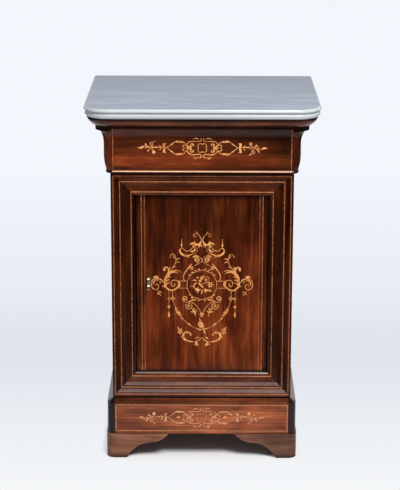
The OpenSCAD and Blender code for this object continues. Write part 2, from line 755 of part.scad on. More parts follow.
module strike_plate_body(over = 0) {
    y0 = (bolt_y0 + bolt_y1 - strike_w) / 2;
    block([-opening_half - strike_t, y0, bolt_z0 - strike_over],
          [-opening_half + over, y0 + strike_w, bolt_z1 + strike_over]);
}
// The bolt's way into the stile, to that depth behind the strike plate's face
module mortise(depth) block([-opening_half - depth, bolt_y0 - mortise_gap, bolt_z0 - mortise_gap],
    [-opening_half + cut, bolt_y1 + mortise_gap, bolt_z1 + mortise_gap]);
module strike_plate() color(BRASS) difference() {
    strike_plate_body();
    mortise(strike_t + cut);
    strike_screws(hole = true);
}

// The keyhole through whatever lies between y0 and y1
module keyhole(y0, y1) {
    translate([key_x, y1, key_z]) rotate([90, 0, 0]) cylinder(r = key_r + slot_gap, h = y1 - y0);
    block([key_x - bit_t / 2 - slot_gap, y0, key_z - bit_r - slot_gap],
          [key_x + bit_t / 2 + slot_gap, y1, key_z]);
}

door_lines_x = [for (s = [-1, 1]) s * (door_half - door_string_out)];
door_fine_x = [for (s = [-1, 1]) s * (door_half - door_string_out - door_string_step)];
module door_line(x, w, over)
    block([x - w / 2, door_y0 - over, door_z0 - over], [x + w / 2, door_y0 + string_d, door_z1 + over]);
module door_strings(over = 0) {
    for (x = door_lines_x) door_line(x, string_w, over);
    for (x = door_fine_x) door_line(x, door_string_fine, over);
}
module door_stringing() color(INLAY) door_strings();

module door_panel() color(ROSEWOOD) difference() {
    block([-door_half, door_y0, door_z0], [door_half, door_y1, door_z1]);
    door_strings(cut);
    leaf_pocket(door_z0 - cut, door_z0 + leaf_t);
    leaf_pocket(door_z1 - leaf_t, door_z1 + cut);
    door_leaf_screws(low = true, hole = true);
    door_leaf_screws(low = false, hole = true);
    block([-door_half - cut, lock_y0, lock_z0], [pocket_x1, door_y1 + cut, lock_z1]);
    block([-door_half - cut, door_y1 - lock_plate_t, lock_z0], [lock_x1, door_y1 + cut, lock_z1]);
    keyhole(door_y0 - cut, lock_y0 + cut);
    lock_screws(hole = true);
}

plate_lap = 8;                          // of the lock plate on the door beside the lock's pocket
pocket_x1 = lock_x1 - plate_lap;
cap_gap = 1;                            // between the cap's edges and the lock's pocket
post_r = 1.5;                           // radius of the cap's posts
post_in = 4;                            // of the posts from the cap's ends
post_x = [-door_half + lock_plate_t + post_in, pocket_x1 - cap_gap - post_in + post_r];
post_z = [lock_z0 + post_in, bolt_z1 + bolt_gap + post_r];
module lock_plate() color(BRASS) difference() {
    union() {
        block([-door_half, door_y1 - lock_plate_t, lock_z0], [lock_x1, door_y1, lock_z1]);
        block([-door_half, lock_y0, lock_z0], [-door_half + lock_plate_t, door_y1, lock_z1]);
    }
    lock_screws(hole = true);
    block([-door_half - cut, bolt_y0 - bolt_gap, bolt_z0 - bolt_gap],
          [-door_half + lock_plate_t + cut, bolt_y1 + bolt_gap, bolt_z1 + bolt_gap]);
    translate([key_x, door_y1 + cut, key_z]) rotate([90, 0, 0])
        cylinder(r = key_tip_r + pin_fit, h = lock_plate_t + 2 * cut);
}
module lock_cap() color(BRASS) difference() {
    union() {
        block([-door_half + lock_plate_t, cap_y0, lock_z0 + cap_gap],
              [pocket_x1 - cap_gap, cap_y0 + cap_t, lock_z1 - cap_gap]);
        for (x = post_x, z = post_z) translate([x, door_y1 - lock_plate_t, z]) rotate([90, 0, 0])
            cylinder(r = post_r, h = door_y1 - lock_plate_t - cap_y0 - cap_t / 2);
    }
    keyhole(cap_y0 - cut, cap_y0 + cap_t + cut);
}
bolt_sink = 0.2;                        // of the drawn bolt's end behind the door's edge
module lock_bolt() color(BRASS) translate([-door_half + bolt_sink, 0, 0])
    block([0, bolt_y0, bolt_z0], [bolt_l, bolt_y1, bolt_z1]);

escutcheon_up = 9;                      // of the escutcheon above the keyhole's centre
tail_share = 0.8;                       // of the escutcheon's lower lobe in its upper one
waist_share = 0.62;                     // of its waist in its upper lobe
module escutcheon_body() {
    r = escutcheon_w / 2;
    tail_z = escutcheon_up - escutcheon_h + r * tail_share;
    translate([key_x, door_y0, key_z]) rotate([90, 0, 0]) linear_extrude(escutcheon_t) {
        translate([0, escutcheon_up - r]) circle(r);
        translate([0, tail_z]) circle(r * tail_share);
        translate([-r * waist_share, tail_z]) square([2 * r * waist_share, escutcheon_up - r - tail_z]);
    }
}
module escutcheon() color(BRASS) difference() {
    escutcheon_body();
    keyhole(door_y0 - escutcheon_t - cut, door_y0 + cut);
}

bow_wall = 3.4;                         // of each ring of the bow
bow_lap = 1.6;                          // over which the bow's two rings run into each other
collar_w = 1.3;                         // of the collar round the stem
collar_l = 2.5;
collar_gap = 0.8;                       // between the collar and the escutcheon
tip_short = 0.4;                        // of the key's tip from the lock plate's outer face
module key() color(BRASS) {
    bow_y = door_y0 - key_reach;
    shoulder_y = door_y1 - lock_plate_t - bolt_gap;
    tip_y = door_y1 - tip_short;
    translate([key_x, shoulder_y, key_z]) rotate([90, 0, 0])
        cylinder(r = key_r, h = shoulder_y - bow_y - bow_r + bow_wall);
    translate([key_x, tip_y, key_z]) rotate([90, 0, 0]) cylinder(r = key_tip_r, h = tip_y - shoulder_y + cut);
    translate([key_x, door_y0 - escutcheon_t - collar_gap, key_z]) rotate([90, 0, 0])
        cylinder(r = key_r + collar_w, h = collar_l);
    block([key_x - bit_t / 2, bolt_y0, key_z - bit_r], [key_x + bit_t / 2, bolt_y1, key_z - key_r / 2]);
    translate([key_x - bow_t / 2, bow_y, key_z]) rotate([90, 0, 90]) linear_extrude(bow_t) difference() {
        union() for (s = [-1, 1]) translate([0, s * (bow_r - bow_lap / 2)]) circle(bow_r);
        for (s = [-1, 1]) translate([0, s * (bow_r - bow_lap / 2)]) circle(bow_r - bow_wall);
    }
}

// ---------- drawer ----------

drawer_front_half = corner_x - drawer_gap;
drawer_back_y = front_y - run_gap;      // back face of the drawer front
module drawer_front_body() {
    back = face_y - drawer_back_y;
    front_run(concat([[back, lip_z0], [lip_out - bead_r, lip_z0], [lip_out - bead_r, lip_z1]],
        frieze_face(frieze_z1), [[back, frieze_z1]]), -drawer_front_half, drawer_front_half);
}
drawer_string_in = 1.6;                 // of the drawer front's lines from its ends
drawer_string_x = drawer_front_half - drawer_string_in;
module drawer_string_body(over = 0) {
    face = frieze_face(frieze_z1);
    last = len(face) - 1;
    for (s = [-1, 1]) translate([s * drawer_string_x, 0, 0])
        front_run(concat([for (p = face) p + [over, 0]], [for (i = [last:-1:0]) face[i] - [string_d, 0]]),
            -string_w / 2, string_w / 2);
}
module drawer_stringing() color(INLAY) drawer_string_body();

module drawer_side_body()
    block([drawer_half - drawer_side_t, drawer_back_y - groove, drawer_z0],
          [drawer_half, drawer_y1, drawer_z1]);
module drawer_bottom_body() block(
    [-drawer_half + drawer_side_t - groove, drawer_back_y - groove, drawer_bottom_z],
    [drawer_half - drawer_side_t + groove, drawer_y1, drawer_bottom_z + drawer_bottom_t]);

module drawer_front() color(ROSEWOOD) difference() {
    drawer_front_body();
    drawer_string_body(cut);
    drawer_side_body();
    on_left() drawer_side_body();
    drawer_bottom_body();
}
module drawer_lip() color(INLAY)
    front_run(lip_outline(lip_out - bead_r), -drawer_front_half, drawer_front_half);
module drawer_side_right() color(OAK) difference() {
    drawer_side_body();
    drawer_bottom_body();
}
module drawer_side_left() on_left() drawer_side_right();
back_low = 2;                           // of the drawer's back below its sides' top edges
module drawer_back() color(OAK)
    block([-drawer_half + drawer_side_t, drawer_y1 - drawer_back_t, drawer_bottom_z + drawer_bottom_t],
          [drawer_half - drawer_side_t, drawer_y1, drawer_z1 - back_low]);
module drawer_bottom() color(PINE) drawer_bottom_body();

// ---------- nodes ----------

marble_top();
cornice_front();
cornice_left();
cornice_right();
top_front_rail();
top_back_rail();
side_panel_left();
side_panel_right();
back_boards();
drawer_divider();
cupboard_floor();
shelf();
shelf_battens();
frame_stile_left();
frame_stile_right();
frame_rail_top();
frame_rail_bottom();
frame_stringing();
frame_fillet();
frieze_left();
frieze_right();
frieze_corner_left();
frieze_corner_right();
lip_left();
lip_right();
drawer_kickers();
drawer_stops();
plinth_front();
plinth_corner_left();
plinth_corner_right();
plinth_left();
plinth_right();
plinth_back();
plinth_stringing();
foot_front_left();
foot_front_right();
feet_side_left();
feet_side_right();
feet_back();
foot_blocks();
frame_pivot_leaves();
strike_plate();
frame_screws();
door_panel();
door_stringing();
door_pivot_leaves();
lock_plate();
lock_cap();
door_screws();
escutcheon();
lock_bolt();
key();
drawer_front();
drawer_lip();
drawer_stringing();
drawer_side_left();
drawer_side_right();
drawer_back();
drawer_bottom();
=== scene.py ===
"""Looks of a bedside pot cupboard: polished rosewood, marble, light marquetry and brass, in a pale studio."""

import math

import bpy
import bmesh
from mathutils import Matrix, Vector
from mathutils.bvhtree import BVHTree


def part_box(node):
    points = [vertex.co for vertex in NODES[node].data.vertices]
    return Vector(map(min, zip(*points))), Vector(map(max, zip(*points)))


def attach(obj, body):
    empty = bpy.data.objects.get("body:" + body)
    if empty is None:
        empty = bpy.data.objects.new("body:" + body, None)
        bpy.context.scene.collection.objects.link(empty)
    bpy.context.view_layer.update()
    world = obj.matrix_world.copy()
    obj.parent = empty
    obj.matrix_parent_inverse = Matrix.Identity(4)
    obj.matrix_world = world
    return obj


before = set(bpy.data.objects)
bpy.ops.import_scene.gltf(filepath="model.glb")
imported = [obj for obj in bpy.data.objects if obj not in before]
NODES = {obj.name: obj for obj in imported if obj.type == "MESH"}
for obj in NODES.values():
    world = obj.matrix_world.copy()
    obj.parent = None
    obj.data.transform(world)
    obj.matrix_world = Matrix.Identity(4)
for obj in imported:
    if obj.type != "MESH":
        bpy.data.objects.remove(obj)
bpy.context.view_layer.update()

MM = 0.001  # lengths are in metres, unless a comment says otherwise

# ---------- places that the frame gives ----------

DOOR_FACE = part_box("door_panel")[0].y
BAND_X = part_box("door_stringing")[1].x        # outer edge of the door's stringing
OPENING_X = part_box("frame_stile_right")[0].x  # edge of the door's opening
LEDGE_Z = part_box("frame_rail_bottom")[1].z    # top of the ledge below the door
DRAWER_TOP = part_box("drawer_front")[1].z
PLINTH_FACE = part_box("plinth_front")[0].y
BEVEL_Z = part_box("plinth_stringing")[1].z     # where the plinth's slope begins
CORNER_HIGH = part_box("frieze_corner_right")[1]
CORNICE_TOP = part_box("cornice_front")[1].z
FOOT_FRONT, FOOT_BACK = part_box("feet_side_right")[0].y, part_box("feet_back")[1].y
FOOT_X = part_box("feet_side_right")[1].x


# ---------- shader helpers ----------

NOISE_RANGE = 0.3, 0.7  # where most of a noise's values lie
STEP = 0.001            # width over which a tint changes at a line


class Tree:
    """The node tree of a material or of the world, with short calls to add and join nodes."""

    def __init__(self, owner, out="OutputMaterial"):
        self.owner = owner
        owner.use_nodes = True
        self.nodes, self.links = owner.node_tree.nodes, owner.node_tree.links
        self.nodes.clear()
        self.out = self.add(out)

    def add(self, kind, values=(), **settings):
        """A node of that kind; values are (socket, number, colour or output) pairs."""
        node = self.nodes.new("ShaderNode" + kind)
        for key, value in settings.items():
            setattr(node, key, value)
        for name, value in values:
            socket = node.inputs[name]
            if isinstance(value, bpy.types.NodeSocket):
                self.links.new(value, socket)
            else:
                socket.default_value = (*value, 1.0) if socket.type == "RGBA" else value
        return node

    def math(self, operation, value, *others):
        """The operation on value alone, or on value and each of the others in turn."""
        for other in others or (0.0,):
            value = self.add("Math", [(0, value), (1, other)], operation=operation).outputs[0]
        return value

    def off(self, value, middle):
        """How far value is from middle."""
        return self.math("ABSOLUTE", self.math("SUBTRACT", value, middle))

    def weigh(self, *shares):
        """The sum of (value, share) pairs."""
        return self.math("ADD", *(self.math("MULTIPLY", value, share) for value, share in shares))

    def place(self):
        return self.add("TexCoord").outputs["Object"]

    def scaled(self, vector, factors):
        return self.add("VectorMath", [(0, vector), (1, factors)], operation="MULTIPLY").outputs[0]

    def split(self, vector):
        """The x, y and z of a vector."""
        return self.add("SeparateXYZ", [(0, vector)]).outputs

    def upward(self):
        """1 on a face that looks up, 0 on an upright one."""
        return self.split(self.add("NewGeometry").outputs["Normal"])[2]

    def noise(self, vector, scale=1.0, detail=3.0, rough=0.5, distort=0.0):
        return self.add("TexNoise", [("Vector", vector), ("Scale", scale), ("Detail", detail),
                                     ("Roughness", rough), ("Distortion", distort)]).outputs["Fac"]

    def ramp(self, value, *stops):
        """A colour that changes with value; stops are (value, colour) pairs."""
        node = self.add("ValToRGB", [(0, value)])
        elements = node.color_ramp.elements
        elements.remove(elements[1])
        elements[0].position, elements[0].color = stops[0][0], (*stops[0][1], 1.0)
        for position, colour in stops[1:]:
            elements.new(position).color = (*colour, 1.0)
        return node.outputs[0]

    def tones(self, value, *stops):
        """A grey that changes with value; stops are (value, grey) pairs."""
        return self.ramp(value, *((at, (grey,) * 3) for at, grey in stops))

    def spread(self, value, low, high, to_low=0.0, to_high=1.0):
        """Goes from to_low to to_high while value goes from low to high, and stays level beyond."""
        return self.add("MapRange", [(0, value), (1, low), (2, high), (3, to_low), (4, to_high)]).outputs[0]

    def swing(self, noise, to_low=0.0, to_high=1.0):
        """Goes from to_low to to_high over the usual range of a noise."""
        return self.spread(noise, *NOISE_RANGE, to_low, to_high)

    def step(self, value, at, before, after):
        """Changes from before to after where value passes at."""
        return self.spread(value, at - STEP / 2, at + STEP / 2, before, after)

    def mix(self, factor, a, b, blend="MIX"):
        return self.add("Mix", [(0, factor), (6, a), (7, b)], data_type="RGBA", blend_type=blend).outputs[2]

    def times(self, colour, factor, share=1.0):
        """The colour made darker or lighter by a factor; share is how much of that is seen."""
        grey = self.add("CombineColor", [(0, factor), (1, factor), (2, factor)]).outputs[0]
        return self.mix(share, colour, grey, "MULTIPLY")

    def rounded(self, radius):
        """The normal that edges of that radius would give."""
        return self.add("Bevel", [("Radius", radius)], samples=4).outputs[0]

    def bump(self, height, strength, distance, normal=None):
        values = [("Height", height), ("Strength", strength), ("Distance", distance)]
        if normal is not None:
            values.append(("Normal", normal))
        return self.add("Bump", values).outputs[0]

    def blend(self, factor, a, b):
        """One shader where factor is 0, and the other where it is 1."""
        return self.add("MixShader", [(0, factor), (1, a), (2, b)]).outputs[0]

    def end(self, shader):
        """Joins the shader to the output, and gives the material or the world."""
        self.links.new(shader, self.out.inputs[0])
        return self.owner

    def surface(self, colour, rough, specular, *others):
        """Ends in a principled shader; others are (socket, value) pairs."""
        values = [("Base Color", colour), ("Roughness", rough), ("Specular IOR Level", specular), *others]
        return self.end(self.add("BsdfPrincipled", values).outputs[0])


def material(name):
    return Tree(bpy.data.materials.new(name))


def linear(r, g, b):
    """A colour given in 0 to 255, as the shaders take it."""
    def one(c):
        c = c / 255
        return c / 12.92 if c <= 0.04045 else ((c + 0.055) / 1.055) ** 2.4
    return (one(r), one(g), one(b))


def shades(*colours):
    return [linear(*colour) for colour in colours]


# ---------- wood ----------

# Each list of four numbers is for spread: two values of a noise or a place, and what they become.

BROAD, STREAKS = (22, 3.4), (210, 9)  # noise waves per metre, across the grain and along it
PORES, CLOUDS = (1100, 42), (42, 15)
FIGURE = 0.24                         # noise from the middle to either end of the colours
MOTTLE = 0.32, 0.68, 0.66, 1.34       # dark and light clouds
PORE_TONE, PORE_SHARE = (0.30, 0.46, 0.62, 1.0), 0.8
PORE_BUMP = 0.06, 0.0004              # strength and depth
CREVICE = 0.020                       # reach of the painted shade in corners and recesses
# how far the painted shade in corners darkens the colour, by how open the place is
CREVICE_SHADE = 0.42, 0.90, 0.08, 1.0
EDGE = 0.0006                         # radius that edges seem to have

RED_TONES = shades((46, 13, 3), (88, 30, 6), (132, 58, 20))
DULL_TONES = shades((42, 19, 9), (82, 42, 22), (124, 74, 46))
FOOT_TONES = shades((60, 32, 20), (110, 66, 46), (150, 104, 80))
EBONY_TONES = shades((20, 10, 7), (34, 17, 12), (54, 28, 20))
# the fillet: ebonised, and darker still as painted shade in the gap between frame and plinth
FILLET_SHADE_TONES = shades((8, 3, 2), (14, 6, 4), (22, 10, 7))
OAK_TONES = shades((120, 88, 56), (152, 116, 78), (178, 142, 100))
PINE_TONES = shades((126, 94, 62), (158, 124, 86), (184, 152, 112))
AGED_PINE_TONES = shades((104, 76, 50), (134, 102, 70), (162, 130, 94))


def along(axis, across, run):
    """Noise waves per metre: run along the grain, across in the other two directions."""
    return tuple(run if letter == axis else across for letter in "XYZ")


def wood(name, axis, dark, mid, light, roughness=0.13, specular=0.45, streak=1.0, tint=None, wear=None):
    """Wood whose streaks run along axis, with clouds, pores and painted shade in its corners.

    A higher streak makes the figure stronger. tint gives a factor that changes over the piece, mostly painted
    light and shade, and wear gives the colour of its painted highlight and shade.
    """
    t = material(name)
    place = t.place()
    broad = t.noise(t.scaled(place, along(axis, *BROAD)), detail=2, distort=0.9)
    streaks = t.noise(t.scaled(place, along(axis, *STREAKS)), detail=5, rough=0.6, distort=0.4)
    pores = t.noise(t.scaled(place, along(axis, *PORES)), detail=2)
    clouds = t.noise(t.scaled(place, along(axis, *CLOUDS)), distort=0.6)
    figure = t.spread(t.weigh((broad, 0.45), (streaks, 0.55)), 0.5 - FIGURE / streak, 0.5 + FIGURE / streak)
    colour = t.ramp(figure, (0.0, dark), (0.45, mid), (1.0, light))
    colour = t.times(colour, t.spread(clouds, *MOTTLE))
    colour = t.times(colour, t.spread(pores, *PORE_TONE), PORE_SHARE)
    if tint is not None:
        colour = t.times(colour, tint(t, place))
    # painted shade in corners and recesses
    openness = t.add("AmbientOcclusion", [("Distance", CREVICE)], samples=8).outputs["AO"]
    colour = t.times(colour, t.spread(openness, *CREVICE_SHADE))
    # painted highlight and shade on some pieces
    if wear is not None:
        colour = wear(t, place, colour)
    rough = t.swing(streaks, roughness + 0.04, roughness - 0.03)
    normal = t.bump(pores, *PORE_BUMP, t.rounded(EDGE))
    return t.surface(colour, rough, specular, ("Normal", normal))


def rosewood(part, axis, shade=1.0, brown=0.0, **others):
    """Dark red-brown veneer; shade darkens or lightens it, and brown (0 to 1) takes out its red."""
    tones = [tuple(shade * (a + (b - a) * brown) for a, b in zip(red, dull))
             for red, dull in zip(RED_TONES, DULL_TONES)]
    return wood("rosewood_" + part, axis, *tones, **others)


def plain_wood(name, axis, tones):
    return wood(name, axis, *tones, roughness=0.62, specular=0.25, streak=0.8)


# ---------- painted light and shade, and tone, that change over a piece ---

RECESS_SHADE, RECESS_SHADE_TONE = 0.0052, 0.3    # width of the painted shade in the recess beside the door, and its factor
# painted highlight along the front edge of the ledge below the door
LEDGE_HIGHLIGHT = LEDGE_Z - 0.0036, LEDGE_Z - 0.00252, 0.0, 0.6
LEDGE_HIGHLIGHT_COLOUR = linear(138, 124, 118)
LEDGE_TOP = 0.85, 0.97, 0.0, 0.85  # where the ledge turns level
# painted shade on the ledge's top
LEDGE_SHADE_COLOUR = linear(26, 12, 8)
DOOR_UP = 0.18, 0.54               # heights between which painted floor light gives way to painted shade at the top
DOOR_TONES = (0.0, 1.15), (0.35, 1.30), (0.6, 0.95), (0.8, 0.64), (1.0, 0.44)
DOOR_WAVES, DOOR_WANDER = (30, 30, 4), 0.16
BAND_TONE = 0.7                    # of the door outside its stringing
# painted sheen low on the drawer's bulge and painted shade under the cornice, by height
DRAWER_UP = 0.600, DRAWER_TOP
DRAWER_TONES = (0.0, 1.1), (0.12, 3.0), (0.30, 2.2), (0.44, 0.95), (0.6, 0.72), (1.0, 0.58)
DRAWER_ACROSS = -0.02, 0.16, 1.0, 0.3
PLINTH_ACROSS = -0.20, 0.02, 0.9, 1.35
SLOPE_TONE = 0.4                   # of the plinth's slope
# feet: darker on the right, and painted shade towards the floor
FOOT_ACROSS, FOOT_UP = (-0.05, 0.15, 1.2, 0.62), (0.0, 0.035, 0.8, 1.0)
# frieze corners: darker on the right, painted shade at the outer edges, and a painted shadow under the
# cornice
CORNER_ACROSS = -0.1, 0.1, 1.0, 0.5
CORNER_OUT = CORNER_HIGH.x - 0.030, CORNER_HIGH.x - 0.008, 1.0, 0.4
CORNER_UP = CORNER_HIGH.z - 0.010, CORNER_HIGH.z - 0.003, 1.0, 0.12
# painted highlight and painted shadow on the cornice, by height
CORNICE_UP = CORNICE_TOP - 0.016, CORNICE_TOP
CORNICE_TONES = (0.0, 0.4), (0.12, 0.9), (0.35, 2.7), (0.6, 0.8), (0.9, 0.3)


def stile_tint(t, place):
    """Painted shade in the recess round the inner edge of the left stile."""
    off = t.off(t.split(place)[0], -(OPENING_X + RECESS_SHADE / 2))
    return t.spread(off, RECESS_SHADE / 2, RECESS_SHADE / 2 + STEP, RECESS_SHADE_TONE, 1.0)


def ledge_highlight_and_shade(t, place, colour):
    """The ledge below the door: painted shade on top, and a painted highlight along its front edge."""
    colour = t.mix(t.spread(t.split(place)[2], *LEDGE_HIGHLIGHT), colour, LEDGE_HIGHLIGHT_COLOUR)
    return t.mix(t.spread(t.upward(), *LEDGE_TOP), colour, LEDGE_SHADE_COLOUR)


def cornice_tint(t, place):
    """Painted highlight along the middle of the moulding, painted shade at its foot, and painted shadow just
    under the marble.
    """
    return t.tones(t.spread(t.split(place)[2], *CORNICE_UP), *CORNICE_TONES)


def door_tint(t, place):
    """Painted light from the floor low down and painted shade towards the top; darker in the band outside the
    stringing.
    """
    x, _, z = t.split(place)
    waves = t.noise(t.scaled(place, DOOR_WAVES), detail=2)
    height = t.math("ADD", z, t.math("MULTIPLY", t.math("SUBTRACT", waves, 0.5), DOOR_WANDER))
    up = t.tones(t.spread(height, *DOOR_UP), *DOOR_TONES)
    return t.math("MULTIPLY", up, t.step(t.math("ABSOLUTE", x), BAND_X, 1.0, BAND_TONE))


def drawer_tint(t, place):
    """Painted sheen low on the bulge and painted shade under the cornice; lighter towards the left."""
    x, _, z = t.split(place)
    up = t.tones(t.spread(z, *DRAWER_UP), *DRAWER_TONES)
    return t.math("MULTIPLY", up, t.spread(x, *DRAWER_ACROSS))


def plinth_tint(t, place):
    """Darker on the slope above the stringing, and towards the left."""
    x, _, z = t.split(place)
    return t.math("MULTIPLY", t.step(z, BEVEL_Z, 1.0, SLOPE_TONE), t.spread(x, *PLINTH_ACROSS))


def foot_tint(t, place):
    """Darker on the right, and painted shade towards the floor."""
    x, _, z = t.split(place)
    return t.math("MULTIPLY", t.spread(x, *FOOT_ACROSS), t.spread(z, *FOOT_UP))


def corner_tint(t, place):
    """The moulded frieze corners: darker on the right side, painted shade at the outer edges and a painted
    shadow just under the cornice.
    """
    x, _, z = t.split(place)
    outer = t.spread(t.math("ABSOLUTE", x), *CORNER_OUT)
    return t.math("MULTIPLY", t.spread(x, *CORNER_ACROSS), outer, t.spread(z, *CORNER_UP))


# ---------- light wood ----------

INLAY_PATCHES, INLAY_GRAIN = 160, (900, 900, 120)  # noise waves per metre
INLAY_RANGE = 0.34, 0.66             # noise where the marquetry is darkest and where it is palest
INLAY_ROUGH = 0.34, 0.26
UPRIGHT_LINE = shades((110, 58, 30), (164, 102, 64))
# colours of the level lines, paler for a painted sheen
LEVEL_LINE_SHEEN = shades((150, 88, 52), (196, 136, 92))
MITRE = -0.002, 0.002                # width of the change at the frame's mitres
TOP_LINE = 0.004, 0.003              # the frame's top line, left without the painted sheen as painted shade under the lip, ends this far down
LIP_LINE, LIP_RISE = 0.0008, 0.0009  # half width of the lip's pale line, and its height over the middle
LIP_SOFT, LIP_GRAIN = 0.0004, (900, 60)
LIP_BROWN = shades((110, 66, 40), (150, 98, 66))
LIP_PALE = shades((206, 152, 116), (240, 196, 160))
# painted shade on the bead's underside
LIP_SHADE = linear(24, 8, 4)


def inlay(name, dark, mid, light):
    """Light wood of the marquetry, shaded a little from place to place."""
    t = material(name)
    place = t.place()
    patches = t.noise(place, INLAY_PATCHES, detail=1)
    grain = t.noise(t.scaled(place, INLAY_GRAIN), detail=2)
    shading = t.spread(t.weigh((patches, 0.7), (grain, 0.3)), *INLAY_RANGE)
    colour = t.ramp(shading, (0.0, dark), (0.5, mid), (1.0, light))
    rough = t.swing(grain, *INLAY_ROUGH)
    return t.surface(colour, rough, 0.3, ("Coat Weight", 0.4), ("Coat Roughness", 0.12))


def two_tone(t, noise, colours):
    """A colour between two, as the noise goes."""
    return t.ramp(t.swing(noise), *zip((0.0, 1.0), colours))


def stringing_wood():
    """The thin lines, with a painted sheen where they run level, above and below the frame's mitres."""
    t = material("stringing")
    place = t.place()
    low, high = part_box("frame_stringing")
    x, _, z = t.split(place)
    across = t.math("SUBTRACT", high.x, t.math("ABSOLUTE", x))
    up = t.math("SUBTRACT", (high.z - low.z) / 2, t.off(z, (low.z + high.z) / 2))
    level_line = t.spread(t.math("SUBTRACT", across, up), *MITRE)
    lower = t.spread(z, *(high.z - down for down in TOP_LINE), 1.0, 0.0)
    grain = t.noise(place, INLAY_PATCHES, detail=2)
    # painted sheen on the level lines, but not on the top one in the lip's shade
    colour = t.mix(t.math("MULTIPLY", level_line, lower), two_tone(t, grain, UPRIGHT_LINE),
                   two_tone(t, grain, LEVEL_LINE_SHEEN))
    return t.surface(colour, t.swing(grain, *INLAY_ROUGH), 0.3)


def lip_wood():
    """A brown bead with a pale line along its nose, and painted shade below that."""
    t = material("lip_wood")
    place = t.place()
    low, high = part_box("drawer_lip")
    above = t.math("SUBTRACT", t.split(place)[2], (low.z + high.z) / 2 + LIP_RISE)
    grain = t.noise(t.scaled(place, along("X", *LIP_GRAIN)))
    # painted shade below the pale line
    brown = t.mix(t.spread(above, 0.0, -LIP_LINE), two_tone(t, grain, LIP_BROWN), LIP_SHADE)
    line = t.spread(t.math("ABSOLUTE", above), LIP_LINE, LIP_LINE + LIP_SOFT, 1.0, 0.0)
    return t.surface(t.mix(line, brown, two_tone(t, grain, LIP_PALE)), 0.3, 0.25)


# ---------- stone and metal ----------

VEIN_SLANT = math.radians(4)   # of the marble's streaks to the front edge
CLOUD_WAVES, BAND_WAVES, FINE_WAVES = (6, 22, 22), (9, 95, 90), (30, 420, 400)  # per metre
VEIN_WAVES, SPECK_WAVES = (2.2, 26, 26), 420
MARBLE_RANGE = 0.38, 0.62      # noise of the darkest and of the palest marble
MARBLE_TONES = shades((92, 103, 121), (111, 124, 144), (142, 153, 170))
PALE_VEIN = 0.5, 0.010, 0.45, linear(214, 221, 230)  # noise in its middle, half width, share, colour
DARK_VEIN = 0.42, 0.012, 0.22, linear(70, 82, 102)
VEINED = 0.48, 0.66            # clouds where the pale veins begin, and where they are full
SPECKS = 0.30, 0.24, 0.0, 0.4
SPECK_COLOUR, SPECK_BUMP = linear(90, 100, 120), (0.03, 0.0003)
BACK = -0.10, 0.18, 0.0, 0.75  # painted shade towards the back, and how much
BACK_COLOUR = linear(74, 86, 103)
BROW = 0.97, 0.80, 0.0, 0.75   # painted light on its moulded edge as it turns down, and how much
BROW_COLOUR = linear(202, 205, 208)
MARBLE_EDGE, MARBLE_ROUGH = 0.0008, (0.20, 0.27)
PATINA_WAVES, SCRATCH_WAVES = 220, (2600, 300, 300)
PATINA_RANGE, SCRATCH_BUMP = (0.35, 0.62), (0.08, 0.0002)
WORN_ROUGH = 0.12              # by which worn metal is rougher


def marble():
    """Blue-grey marble, streaked from side to side; painted shade towards the back, and painted light round
    its edge.
    """
    t = material("blue_grey_marble")
    place = t.place()
    slant = t.add("Mapping", [("Vector", place), ("Rotation", (0, 0, VEIN_SLANT))]).outputs[0]
    clouds = t.noise(t.scaled(slant, CLOUD_WAVES), detail=4, rough=0.55, distort=0.5)
    bands = t.noise(t.scaled(slant, BAND_WAVES), detail=5, rough=0.62, distort=0.35)
    fine = t.noise(t.scaled(slant, FINE_WAVES), rough=0.6)
    veins = t.noise(t.scaled(slant, VEIN_WAVES), detail=2, distort=0.25)
    specks = t.noise(place, SPECK_WAVES, detail=2)
    body = t.spread(t.weigh((clouds, 0.30), (bands, 0.42), (fine, 0.28)), *MARBLE_RANGE)
    colour = t.ramp(body, *zip((0.0, 0.5, 1.0), MARBLE_TONES))
    for (middle, width, share, vein), where in ((PALE_VEIN, t.spread(clouds, *VEINED)), (DARK_VEIN, 1.0)):
        near = t.math("MULTIPLY", t.spread(t.off(veins, middle), 0.0, width, 1.0, 0.0), where, share)
        colour = t.mix(near, colour, vein)
    colour = t.mix(t.spread(specks, *SPECKS), colour, SPECK_COLOUR)
    # painted shade towards the back, and painted light on the moulded edge
    colour = t.mix(t.spread(t.split(place)[1], *BACK), colour, BACK_COLOUR)
    colour = t.mix(t.spread(t.upward(), *BROW), colour, BROW_COLOUR)
    return t.surface(colour, t.swing(clouds, *MARBLE_ROUGH), 0.5,
                     ("Normal", t.bump(specks, *SPECK_BUMP, t.rounded(MARBLE_EDGE))))


def metal(name, base, worn, roughness):
    """Metal with a patina of two tones, and fine scratches."""
    t = material(name)
    place = t.place()
    patina = t.noise(place, PATINA_WAVES, detail=4)
    scratches = t.noise(t.scaled(place, SCRATCH_WAVES), detail=2)
    colour = t.ramp(t.spread(patina, *PATINA_RANGE), (0.0, linear(*worn)), (1.0, linear(*base)))
    return t.surface(colour, t.swing(patina, roughness + WORN_ROUGH, roughness), 0.5, ("Metallic", 1.0),
                     ("Normal", t.bump(scratches, *SCRATCH_BUMP)))


# ---------- which piece looks like what ----------

INLAY = inlay("marquetry_wood", *shades((176, 98, 46), (220, 146, 80), (242, 178, 112)))
INLAY_LOW = inlay("marquetry_plinth", *shades((160, 98, 60), (206, 140, 92), (232, 168, 120)))

